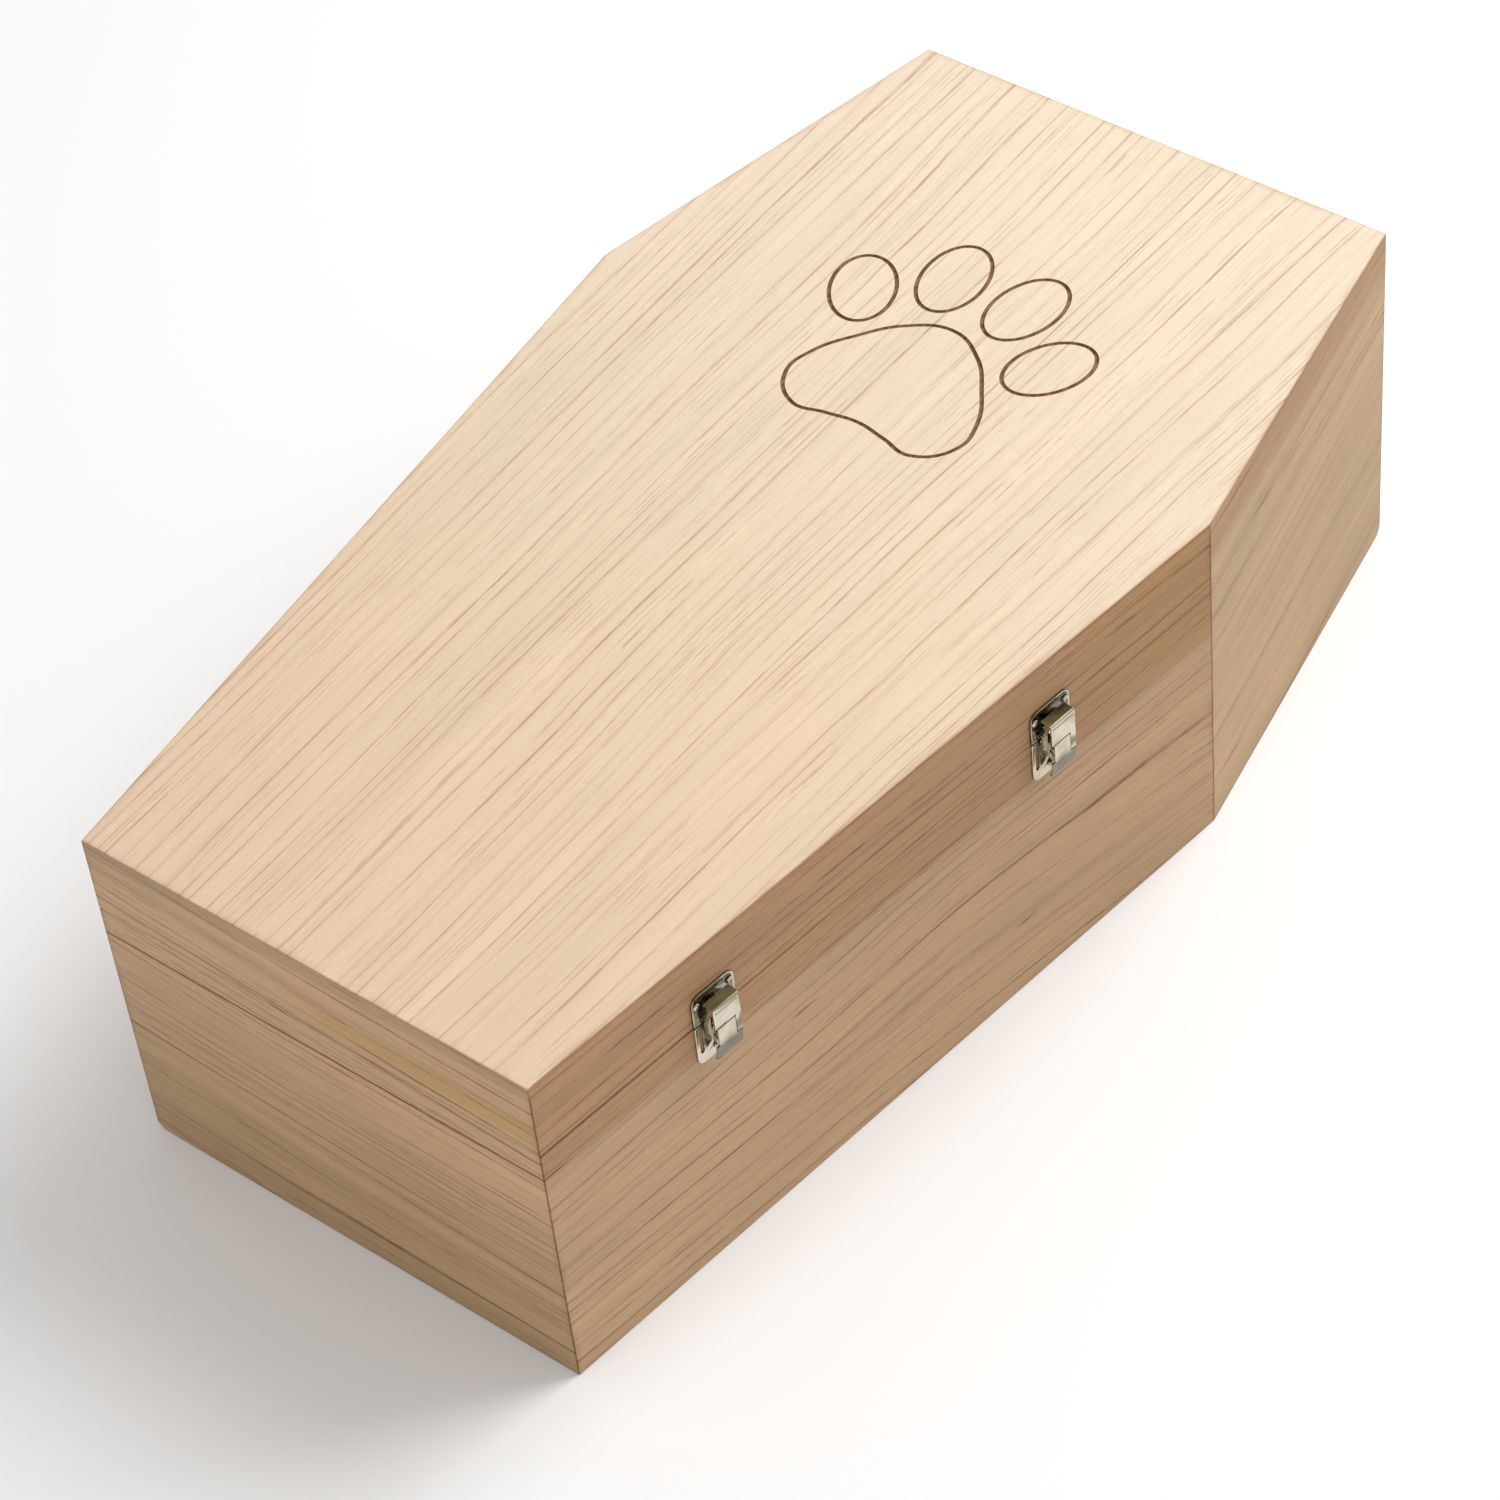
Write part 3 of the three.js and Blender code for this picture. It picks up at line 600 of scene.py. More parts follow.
def nickel(name, colour, rough):
    """Plated metal with faint clouds and fine scuffs, rougher on top; painted dark reflection on faces turned up
    or down, and painted shade in the pressed-in middle of catch plates.
    """
    material, g, shader = new_material(name)
    coordinates = g.add("ShaderNodeTexCoord", {}).outputs
    here, facing = coordinates["Object"], coordinates["Normal"]
    scuff = g.noise(g.stretched(here, 3 * MM, 3 * MM, 3 * MM), 4, 0.6)
    cloud = g.noise(g.stretched(here, 11 * MM, 11 * MM, 11 * MM), 2)
    tint = g.mix(1.0, colour, linear("e2dccf"), "MULTIPLY")
    clouded = g.mix(g.fade(cloud, 0.35, 0.7), colour, tint)
    # Painted dark reflection: faces turned up and faces turned down are darkened.
    upward = g.fade(g.parts(facing)[2], 0.5, 0.9)
    downward = g.fade(g.parts(facing)[2], -0.04, -0.09)
    shaded_by_facing = g.mix(upward, clouded, g.mix(1.0, clouded, linear("9a9682"), "MULTIPLY"))
    shaded_by_facing = g.mix(downward, shaded_by_facing, g.mix(1.0, shaded_by_facing, linear("9ea39d"), "MULTIPLY"))
    # Painted shade in the pressed-in middle of the catch plates, broken up by the scuffs.
    recess_shade = g.calc("MULTIPLY", pressed_in(g, here), g.fade(scuff, 0.25, 0.6, 0.55, 1.0))
    recess_shaded = g.mix(1.0, shaded_by_facing, linear("8c8878"), "MULTIPLY")
    g.feed(shader.inputs["Base Color"], g.mix(recess_shade, shaded_by_facing, recess_shaded))
    worn = g.fade(scuff, 0.3, 0.75, rough * 0.8, rough * 1.4)
    g.feed(shader.inputs["Roughness"], g.calc("MULTIPLY_ADD", upward, 0.2, worn))
    shader.inputs["Metallic"].default_value = 1.0
    g.feed(shader.inputs["Normal"], g.relief(scuff, 0.08, 0.1))
    return material


def dress(obj, material):
    obj.data.materials.clear()
    obj.data.materials.append(material)


def pick(kind, test):
    """Selects the vertices, edges or faces of the open mesh that pass the test, and nothing else."""
    bpy.ops.mesh.select_mode(type=kind)
    bpy.ops.mesh.select_all(action="DESELECT")
    data = bpy.context.object.data
    mesh = bmesh.from_edit_mesh(data)
    for element in {"VERT": mesh.verts, "EDGE": mesh.edges, "FACE": mesh.faces}[kind]:
        if test(element):
            element.select_set(True)
    mesh.select_flush_mode()
    bmesh.update_edit_mesh(data)


def begin(add, **settings):
    """Adds a primitive on its own and opens it in edit mode."""
    bpy.ops.object.select_all(action="DESELECT")
    add(**settings)
    bpy.ops.object.mode_set(mode="EDIT")
    return bpy.context.object


def at_height(element, height):
    """True where every vertex of an edge or face of the open mesh is at a height."""
    return all(abs(vertex.co.z - height) < 0.01 for vertex in element.verts)


def middle_of(edge):
    return (edge.verts[0].co + edge.verts[1].co) / 2


def leave():
    bpy.ops.object.mode_set(mode="OBJECT")


def only(obj):
    bpy.ops.object.select_all(action="DESELECT")
    obj.select_set(True)
    bpy.context.view_layer.objects.active = obj


def apply_modifier(obj, kind, **settings):
    modifier = obj.modifiers.new(kind.lower(), kind)
    for name, value in settings.items():
        setattr(modifier, name, value)
    only(obj)
    bpy.ops.object.modifier_apply(modifier=modifier.name)


def flat_outline(points):
    """A filled outline: a disc with as many corners, each moved to its place."""
    obj = begin(bpy.ops.mesh.primitive_circle_add, vertices=len(points), radius=1, fill_type="NGON")
    mesh = bmesh.from_edit_mesh(obj.data)
    mesh.verts.ensure_lookup_table()
    for vertex, point in zip(mesh.verts, points):
        vertex.co = Vector((*point, 0)) if len(point) == 2 else Vector(point)
    bmesh.update_edit_mesh(obj.data)
    return obj


def stand_for(piece, node):
    """The piece goes where the node goes and is shown in its place."""
    bodies = frame["record"]["behaviour"]["bodies"]
    body = next(name for name, nodes in bodies.items() if node in nodes)
    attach(piece, body)
    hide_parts(node)


# Engraved paw print, in millimetres from the middle of the box
INNER_TOE = {"x": 23, "y": 200.5, "width": 35.6, "length": 54.4, "lean": 8.5}
OUTER_TOE = {"x": 59.5, "y": 169.3, "width": 35.4, "length": 51.8, "lean": 28}
PAD_MIDDLE = 115
PAD_TOP = (0, 52)
PAD_SIDE = ((23.5, 41.3), (39.4, 22.8), (52.4, 0.5), (54.6, -19), (37.5, -36.6), (18, -33.6))
PAD_HOLLOW = (0, -30.8)
EASED_EDGE = 0.4 * MM


def groove_tool(curve, width):
    """A round bar along a closed curve, which cuts a groove as deep as half its width."""
    curve.data.dimensions = "3D"
    curve.data.bevel_depth = width / 2
    curve.data.bevel_resolution = 3
    curve.data.resolution_u = 18
    for point in curve.data.splines[0].bezier_points:
        point.radius = 1
    only(curve)
    bpy.ops.object.convert(target="MESH")
    return bpy.context.object


def toe_tool(toe, side, width):
    bpy.ops.object.select_all(action="DESELECT")
    bpy.ops.curve.primitive_bezier_circle_add(
        radius=1,
        location=(side * toe["x"] * MM, toe["y"] * MM, TOP),
        rotation=(0, 0, -side * math.radians(toe["lean"])),
    )
    curve = bpy.context.object
    curve.scale = (toe["width"] / 2 * MM, toe["length"] / 2 * MM, 1)
    bpy.ops.object.transform_apply()
    return groove_tool(curve, width)


def pad_tool(width):
    left = [(-x, y) for x, y in reversed(PAD_SIDE)]
    outline = [PAD_TOP, *PAD_SIDE, PAD_HOLLOW, *left]
    bpy.ops.object.select_all(action="DESELECT")
    bpy.ops.curve.primitive_bezier_circle_add(radius=1)
    curve = bpy.context.object
    spline = curve.data.splines[0]
    spline.bezier_points.add(len(outline) - len(spline.bezier_points))
    for point, (x, y) in zip(spline.bezier_points, outline):
        point.co = (x * MM, (PAD_MIDDLE + y) * MM, TOP)
        point.handle_left_type = "AUTO"
        point.handle_right_type = "AUTO"
    return groove_tool(curve, width)


class COFFIN_OT_top_board(bpy.types.Operator):
    """Makes the lid's top board, with soft edges and an engraved outline paw print"""

    bl_idname = "coffin.top_board"
    bl_label = "Top board"
    bl_options = {"REGISTER", "UNDO"}

    def execute(self, context):
        board = flat_outline([(p.x, p.y, UNDER_TOP) for p in plan_corners()])
        bpy.ops.mesh.select_all(action="SELECT")
        bpy.ops.mesh.extrude_region_move(TRANSFORM_OT_translate={"value": (0, 0, TOP - UNDER_TOP)})
        bpy.ops.mesh.select_all(action="SELECT")
        bpy.ops.mesh.normals_make_consistent(inside=False)
        pick("EDGE", lambda edge: all(v.co.z > TOP - MM for v in edge.verts))
        bpy.ops.mesh.bevel(offset=EASED_EDGE, segments=4, affect="EDGES")
        leave()
        board.name = "engraved_top_board"
        dress(board, top_wood())
        board.data.materials.append(scorched_wood())
        self.edge_wood(board)
        width = context.scene.coffin_wood.groove_width
        tools = [pad_tool(width)]
        for side in (-1, 1):
            tools += [toe_tool(INNER_TOE, side, width), toe_tool(OUTER_TOE, side, width)]
        for tool in tools:
            dress(tool, board.data.materials[1])
            apply_modifier(board, "BOOLEAN", object=tool, solver="EXACT", material_mode="TRANSFER")
            bpy.data.objects.remove(tool)
        stand_for(board, "lid_top_board")
        return {"FINISHED"}

    def edge_wood(self, board):
        """The board's edges are faced with the same wood as the walls under them."""
        first = len(board.data.materials)
        for index in range(len(SIDES)):
            board.data.materials.append(wall_wood(index))
        outward = [side_direction(index).cross(UP) for index in range(len(SIDES))]
        for face in board.data.polygons:
            if abs(face.normal.z) < 0.3:
                nearest = max(range(len(SIDES)), key=lambda index: face.normal.dot(outward[index]))
                face.material_index = first + nearest


class COFFIN_OT_walls(bpy.types.Operator):
    """Gives the walls of the lid and the base their wood"""

    bl_idname = "coffin.walls"
    bl_label = "Walls"
    bl_options = {"REGISTER", "UNDO"}

    def execute(self, context):
        for index, side in enumerate(SIDES):
            material = wall_wood(index)
            dress(frame["nodes"][f"base_{side}"], material)
            dress(frame["nodes"][f"lid_{side}"], material)
        return {"FINISHED"}


class COFFIN_OT_floor_board(bpy.types.Operator):
    """Gives the floor board its wood"""

    bl_idname = "coffin.floor_board"
    bl_label = "Floor board"
    bl_options = {"REGISTER", "UNDO"}

    def execute(self, context):
        dress(frame["nodes"]["floor_board"], floor_wood())
        return {"FINISHED"}


# Fittings, in millimetres: x along the seam, y outwards from the wall, z up from the seam
WALL_GAP = 0.3
SHEET = 0.8
FACE = WALL_GAP + SHEET
SOFT_EDGE = 0.16
PLATE_HALF_WIDTH = 14
CATCH_PLATE = {"low": 0.5, "high": 20, "corner": 5}
CATCH_LIP = {"half_width": 5.4, "low": 5.7, "high": 12.9, "front": 4.4}
CATCH_SCREWS = ((11, 13.6), (-11, 13.6))
BASE_PLATE = {"low": -27, "high": -0.5, "corner": 5}
BASE_SLOT = {"x": 10.3, "half_width": 1.3, "low": -20, "high": -3.5}
BASE_SCREWS = ((1, -4.6), (1, -21.5))
EAR = {"inner": 6.85, "front": 7.2, "low": -5, "high": 2.2, "back": 1.6, "corner": 1.5}
PLATE_RIM = 1.1
PLATE_SINK = 0.22
LATCH_FRONT = 9.5
LEVER_PIVOT = (5.4, -1.4)
HOOK_PIVOT = (5, -6.6)
LEVER = {"right": -4.6, "left": 6.7, "high": -0.2}
LEVER_LIP = {"high": -11.9, "low": -20.5, "lean": 6, "radius": 3, "sweep": 80, "corner": 3.5}
HOOK = {"half_width": 8.6, "low": 0.6, "high": 14.2, "back": 2.6, "strip_left": -5, "strip_low": -11.2}
HOOK_BEND = 1
HOOK_RIM = 1.3
HOOK_SINK = 0.3
ARM = {"back": 2.4, "front": 6.9, "slant_low": 0.5, "slant_top": 6.6, "web_low": 9.5, "eye": 1.9}
PIN_RADIUS = 1
PIN_HOLE = 1.12
RIVET = {"neck": 0.12, "head": 0.25, "top": 0.7}
LEAF = {"half_length": 16, "thickness": 1.2, "edge": 2.9, "reach": 15, "corner": 2}
KNUCKLE = {"y": 2.9, "radius": 2.5, "pin": 1.18, "middle": 5.2, "gap": 0.3, "sweep": 292}
HINGE_SCREW = (10, 9.6)
SCREW = {"head": 2.1, "dome": 0.9, "cut": 0.25, "shank": 1.15, "hole": 1.4, "gap": 0.05}
SCREW_TURN = 2.4
RECESS = {"length": 2.1, "width": 0.5, "depth": 0.55}

# Turns to the wall: an outline that faces outwards, a screw driven in, an outline seen end on
FACING = Matrix(((1, 0, 0, 0), (0, 0, -1, 0), (0, 1, 0, 0), (0, 0, 0, 1)))
DRIVEN = Matrix(((1, 0, 0, 0), (0, 0, 1, 0), (0, -1, 0, 0), (0, 0, 0, 1)))
END_ON = Matrix(((0, 0, 1, 0), (1, 0, 0, 0), (0, 1, 0, 0), (0, 0, 0, 1)))


def settle(obj, place):
    """Moves the mesh itself to its place and leaves the object at the origin."""
    only(obj)
    obj.matrix_world = place
    bpy.ops.object.transform_apply()


def turned_out():
    bpy.ops.mesh.select_all(action="SELECT")
    bpy.ops.mesh.normals_make_consistent(inside=False)


def sheet(points, thickness, turn, shift):
    """A flat sheet: points are (across, up, corner radius), and its back is at shift."""
    obj = flat_outline([point[:2] for point in points])
    for radius in sorted({point[2] for point in points if len(point) == 3}):
        spots = [Vector(point[:2]) for point in points if point[2:] == (radius,)]
        pick("VERT", lambda vertex: any((vertex.co.xy - spot).length < 0.01 for spot in spots))
        bpy.ops.mesh.bevel(offset=radius, segments=7, affect="VERTICES")
    bpy.ops.mesh.select_all(action="SELECT")
    bpy.ops.mesh.extrude_region_move(TRANSFORM_OT_translate={"value": (0, 0, thickness)})
    turned_out()
    leave()
    settle(obj, Matrix.Translation(shift) @ turn)
    return obj


def bar(radius, start, end, turn=Matrix.Identity(4), sides=32):
    """A round bar between two distances on its own axis, then turned."""
    obj = begin(
        bpy.ops.mesh.primitive_cylinder_add,
        vertices=sides,
        radius=radius,
        depth=end - start,
        location=(0, 0, (start + end) / 2),
    )
    leave()
    only(obj)
    bpy.ops.object.transform_apply()
    settle(obj, turn)
    return obj


def combine(obj, other, operation):
    apply_modifier(obj, "BOOLEAN", object=other, operation=operation, solver="EXACT")
    bpy.data.objects.remove(other)


def drill(obj, across, up, radius, turn=FACING):
    """A round hole through a sheet, at a place on the sheet's own outline."""
    spot = Matrix.Translation(turn @ Vector((across, up, 0)))
    combine(obj, bar(radius, -30, 30, spot @ turn), "DIFFERENCE")


def bent(test, centre, degrees, steps):
    """Bends the open sheet on from the edges that pass the test, round an axis along the seam."""
    pick("EDGE", test)
    bpy.ops.mesh.spin(steps=steps, angle=math.radians(degrees), center=(0, *centre), axis=(-1, 0, 0))


def thickened(obj, thickness):
    turned_out()
    leave()
    apply_modifier(obj, "SOLIDIFY", thickness=thickness, offset=0, use_even_offset=True)


def softened(obj, width=SOFT_EDGE):
    """Takes the sharpness off a fitting's edges and smooths its round faces."""
    begin_edit(obj)
    bpy.ops.mesh.select_all(action="SELECT")
    bpy.ops.mesh.remove_doubles(threshold=0.0005)
    bpy.ops.mesh.dissolve_limited(angle_limit=math.radians(0.5))
    leave()
    apply_modifier(
        obj,
        "BEVEL",
        width=width,
        segments=2,
        limit_method="ANGLE",
        angle_limit=math.radians(38),
        use_clamp_overlap=True,
    )
    only(obj)
    bpy.ops.object.shade_smooth_by_angle(angle=math.radians(35))


def begin_edit(obj):
    only(obj)
    bpy.ops.object.mode_set(mode="EDIT")


def plate_rim(obj):
    """Presses the middle of a plate in, so that a rim stands round it."""
    begin_edit(obj)
    pick("FACE", lambda face: face.normal.y > 0.9)
    bpy.ops.mesh.inset(thickness=PLATE_RIM)
    bpy.ops.transform.translate(value=(0, -PLATE_SINK, 0))
    leave()


def catch_plate():
    low, high, corner = CATCH_PLATE.values()
    half = PLATE_HALF_WIDTH
    outline = [(-half, low), (half, low), (half, high, corner), (-half, high, corner)]
    plate = sheet(outline, SHEET, FACING, (0, FACE, 0))
    plate_rim(plate)
    for x, z in CATCH_SCREWS:
        drill(plate, x, z, SCREW["hole"])
    half, low, high, front = CATCH_LIP.values()
    profile = [
        (FACE - SHEET / 2, low),
        (front, low, SHEET),
        (front, high),
        (front - SHEET, high),
        (front - SHEET, low + SHEET),
        (FACE - SHEET / 2, low + SHEET),
    ]
    combine(plate, sheet(profile, 2 * half, END_ON, (-half, 0, 0)), "UNION")
    softened(plate)
    return plate


def base_plate():
    low, high, corner = BASE_PLATE.values()
    half = PLATE_HALF_WIDTH
    outline = [(-half, low, corner), (half, low, corner), (half, high), (-half, high)]
    plate = sheet(outline, SHEET, FACING, (0, FACE, 0))
    plate_rim(plate)
    for x, z in BASE_SCREWS:
        drill(plate, x, z, SCREW["hole"])
    slot = BASE_SLOT
    reach = slot["half_width"]
    for side in (-1, 1):
        x = side * slot["x"]
        corners = [
            (x - reach, slot["low"], 0.95 * reach),
            (x + reach, slot["low"], 0.95 * reach),
            (x + reach, slot["high"], 0.95 * reach),
            (x - reach, slot["high"], 0.95 * reach),
        ]
        combine(plate, sheet(corners, 4, FACING, (0, 2, 0)), "DIFFERENCE")
    ear = [
        (FACE - SHEET / 2, EAR["low"]),
        (EAR["front"], EAR["low"], EAR["corner"]),
        (EAR["front"], EAR["high"], EAR["corner"]),
        (EAR["back"], EAR["high"]),
        (EAR["back"], high),
        (FACE - SHEET / 2, high),
    ]
    for start in (EAR["inner"], -EAR["inner"] - SHEET):
        combine(plate, sheet(ear, SHEET, END_ON, (start, 0, 0)), "UNION")
    drill(plate, *LEVER_PIVOT, PIN_HOLE, END_ON)
    softened(plate)
    return plate


def lever():
    """A narrow front that widens into a finger lip, with two cheeks behind it."""
    middle = LATCH_FRONT - SHEET / 2
    left, right, half = LEVER["left"], LEVER["right"], HOOK["half_width"]
    top, bottom, radius = LEVER_LIP["high"], LEVER_LIP["low"], LEVER_LIP["radius"] - SHEET / 2
    lean = math.radians(LEVER_LIP["lean"])
    corners = [(right, top), (left, top), (left, LEVER["high"]), (right, LEVER["high"])]
    front = flat_outline([(x, middle, z) for x, z in corners])
    for inner, outer in ((right, -half), (left, half)):
        pick("VERT", lambda vertex: abs(vertex.co.x - inner) < 0.01 and abs(vertex.co.z - top) < 0.01)
        bpy.ops.mesh.extrude_region_move(TRANSFORM_OT_translate={"value": (outer - inner, 0, 0)})
    pick("EDGE", lambda edge: at_height(edge, top))
    inwards = (bottom - top) * math.tan(lean)
    bpy.ops.mesh.extrude_region_move(TRANSFORM_OT_translate={"value": (0, inwards, bottom - top)})
    centre = (middle + inwards - radius * math.cos(lean), bottom + radius * math.sin(lean))
    bent(lambda edge: at_height(edge, bottom), centre, -LEVER_LIP["sweep"], 12)
    thickened(front, SHEET)
    end = centre[1] - radius - SHEET / 2
    reach = LEVER["high"] + 1
    corner = LEVER_LIP["corner"]
    window = [(-half, end, corner), (half, end, corner), (half, reach), (-half, reach)]
    combine(front, sheet(window, 20, FACING, (0, 20, 0)), "INTERSECT")
    cheek = [
        (3.6, LEVER["high"], 1),
        (3.8, HOOK_PIVOT[1] - 2, 1.5),
        (6.6, top + 1.2, 1),
        (middle, top + 0.2),
        (middle, top + 3.2),
        (7.1, top + 4.8, 1),
        (7.1, LEVER["high"], 1),
    ]
    for start in (right, left - SHEET):
        combine(front, sheet(cheek, SHEET, END_ON, (start, 0, 0)), "UNION")
    for pivot in (LEVER_PIVOT, HOOK_PIVOT):
        drill(front, *pivot, PIN_HOLE, END_ON)
    softened(front)
    return front


def hook():
    """A pressed front with a strip down one side, a flange bent over its top, and two arms."""
    middle = LATCH_FRONT - SHEET / 2
    half, low, back = HOOK["half_width"], HOOK["low"], HOOK["back"]
    bend_from = HOOK["high"] - SHEET / 2 - HOOK_BEND
    strip_left, strip_low = HOOK["strip_left"], HOOK["strip_low"]
    corners = [(-half, low), (strip_left, low), (half, low), (half, bend_from), (-half, bend_from)]
    front = flat_outline([(x, middle, z) for x, z in corners])
    pick("EDGE", lambda edge: at_height(edge, low) and middle_of(edge).x < strip_left)
    bpy.ops.mesh.extrude_region_move(TRANSFORM_OT_translate={"value": (0, 0, strip_low - low)})
    bent(lambda edge: at_height(edge, bend_from), (middle - HOOK_BEND, bend_from), 90, 5)
    bpy.ops.mesh.extrude_region_move(TRANSFORM_OT_translate={"value": (0, back - middle + HOOK_BEND, 0)})
    thickened(front, SHEET)
    begin_edit(front)
    pick("FACE", lambda face: len(face.verts) == 5 and face.normal.y > 0.9)
    bpy.ops.mesh.inset(thickness=HOOK_RIM)
    bpy.ops.transform.translate(value=(0, -HOOK_SINK, 0))
    leave()
    arm_low, arm_high = HOOK_PIVOT[1] - ARM["eye"], HOOK["high"] - SHEET / 2
    arm = [
        (ARM["back"], ARM["slant_low"], 1),
        (ARM["back"], arm_low, ARM["eye"]),
        (ARM["front"], arm_low, ARM["eye"]),
        (ARM["front"], ARM["web_low"], 1),
        (middle, ARM["web_low"]),
        (middle, arm_high, HOOK_BEND),
        (ARM["slant_top"], arm_high),
    ]
    for start in (-half, half - SHEET):
        combine(front, sheet(arm, SHEET, END_ON, (start, 0, 0)), "UNION")
    drill(front, *HOOK_PIVOT, PIN_HOLE, END_ON)
    softened(front)
    return front


def rivet_pin(radius, reach, swell, pivot):
    """A pin along the seam, with both ends riveted over."""
    pin = bar(radius, -reach, reach)
    begin_edit(pin)
    for side in (-1, 1):
        pick("FACE", lambda face: face.normal.z * side > 0.9)
        bpy.ops.mesh.inset(thickness=0.001)
        bpy.ops.mesh.extrude_region_move(TRANSFORM_OT_translate={"value": (0, 0, side * RIVET["neck"])})
        bpy.ops.transform.resize(value=(swell, swell, 1), center_override=(0, 0, 0))
        bpy.ops.mesh.extrude_region_move(TRANSFORM_OT_translate={"value": (0, 0, side * RIVET["head"])})
        bpy.ops.transform.resize(value=(RIVET["top"], RIVET["top"], 1), center_override=(0, 0, 0))
    leave()
    settle(pin, Matrix.Translation((0, *pivot)) @ END_ON)
    softened(pin, 0.08)
    return pin


def hinge_leaf(side):
    """One leaf: its plate's inner edge is rolled round the pin. Side is 1 on the lid, -1 on the base."""
    half, thickness, edge, reach, corner = LEAF.values()
    split = KNUCKLE["middle"] + (KNUCKLE["gap"] if side < 0 else 0)
    middle, near, far = WALL_GAP + thickness / 2, side * edge, side * reach
    inner = [(x, middle, near) for x in (-half, -split, split, half)]
    leaf = flat_outline(inner + [(half, middle, far), (-half, middle, far)])
    pick("VERT", lambda vertex: abs(vertex.co.z - far) < 0.01)
    bpy.ops.mesh.bevel(offset=corner, segments=7, affect="VERTICES")
    pick("EDGE", lambda edge: at_height(edge, near) and (abs(middle_of(edge).x) < split) == (side > 0))
    radius = KNUCKLE["radius"] - thickness / 2
    sag = KNUCKLE["y"] - radius - middle
    bpy.ops.mesh.extrude_region_move(TRANSFORM_OT_translate={"value": (0, sag, -near)})
    rolled = math.radians(side * KNUCKLE["sweep"])
    bpy.ops.mesh.spin(steps=28, angle=rolled, center=(0, KNUCKLE["y"], 0), axis=(-1, 0, 0))
    thickened(leaf, thickness)
    for way in (-1, 1):
        drill(leaf, way * HINGE_SCREW[0], side * HINGE_SCREW[1], SCREW["hole"])
    softened(leaf)
    return leaf


def screw():
    """A round-headed screw with a cross recess: its shank stops at the wood behind the plate."""
    under, level = SCREW["gap"], SCREW["cut"]
    shank = bar(SCREW["shank"], -SHEET - WALL_GAP / 2, under)
    head = begin(bpy.ops.mesh.primitive_uv_sphere_add, segments=32, ring_count=24, radius=1)
    bpy.ops.mesh.select_all(action="SELECT")
    bpy.ops.mesh.bisect(plane_co=(0, 0, level), plane_no=(0, 0, 1), use_fill=True, clear_inner=True)
    bpy.ops.mesh.select_all(action="SELECT")
    bpy.ops.transform.translate(value=(0, 0, -level))
    wider, taller = SCREW["head"] / math.sqrt(1 - level**2), SCREW["dome"] / (1 - level)
    bpy.ops.transform.resize(value=(wider, wider, taller), center_override=(0, 0, 0))
    bpy.ops.transform.translate(value=(0, 0, under))
    turned_out()
    leave()
    combine(head, shank, "UNION")
    length, width, depth = RECESS.values()
    for across, up in ((length, width), (width, length)):
        arms = begin(bpy.ops.mesh.primitive_cube_add, size=1)
        top = under + SCREW["dome"]
        bpy.ops.transform.resize(value=(across, up, 2 * depth), center_override=(0, 0, 0))
        bpy.ops.transform.translate(value=(0, 0, top))
        leave()
        combine(head, arms, "DIFFERENCE")
    softened(head, 0.06)
    settle(head, DRIVEN)
    return head


def joint_at(name):
    return next(joint for joint in frame["joints"] if joint["name"] == name)


def fitting_place(origin, along):
    """The matrix that puts a fitting, drawn in its own millimetres, at its place on the wall."""
    outward = UP.cross(along)
    place = Matrix((along, outward, UP)).transposed().to_4x4()
    place.translation = origin
    return place @ Matrix.Scale(MM, 4)


def latch_place(latch):
    joint = joint_at(latch.replace("latch", "lever_pivot"))
    along = Vector(joint["axis"])
    y, z = LEVER_PIVOT
    return fitting_place(Vector(joint["pos_m"]) - (UP.cross(along) * y + UP * z) * MM, along)


def hinge_place(hinge):
    low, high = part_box(f"{hinge}_pin")
    along = -Vector(joint_at("lid_hinge")["axis"])
    return fitting_place((low + high) / 2 - UP.cross(along) * KNUCKLE["y"] * MM, along)


def fit(pattern, node, place, material):
    """Copies a pattern, with a mesh of its own, to the place of a node."""
    piece = pattern.copy()
    piece.data = pattern.data.copy()
    piece.name = f"{node}_finished"
    bpy.context.scene.collection.objects.link(piece)
    settle(piece, place)
    dress(piece, material)
    stand_for(piece, node)


def fit_all(patterns, names, place_of, material):
    """Fits each pattern at every place, then removes the patterns."""
    for part, pattern in patterns.items():
        for name in names:
            fit(pattern, f"{name}_{part}", place_of(name), material)
        bpy.data.objects.remove(pattern)


class COFFIN_OT_latches(bpy.types.Operator):
    """Makes the plates, levers and hooks of the toggle latches"""

    bl_idname = "coffin.latches"
    bl_label = "Latches"
    bl_options = {"REGISTER", "UNDO"}

    def execute(self, context):
        patterns = {"catch_plate": catch_plate(), "base_plate": base_plate()}
        patterns.update({"lever": lever(), "hook": hook()})
        metal = context.scene.coffin_metal
        material = nickel("bright nickel", metal.nickel, metal.nickel_roughness)
        fit_all(patterns, LATCHES, latch_place, material)
        return {"FINISHED"}


class COFFIN_OT_hinges(bpy.types.Operator):
    """Makes the rolled leaves of the butt hinges"""

    bl_idname = "coffin.hinges"
    bl_label = "Hinges"
    bl_options = {"REGISTER", "UNDO"}

    def execute(self, context):
        patterns = {"lid_leaf": hinge_leaf(1), "base_leaf": hinge_leaf(-1)}
        metal = context.scene.coffin_metal
        material = nickel("hinge nickel", metal.nickel, metal.nickel_roughness)
        fit_all(patterns, HINGES, hinge_place, material)
        return {"FINISHED"}


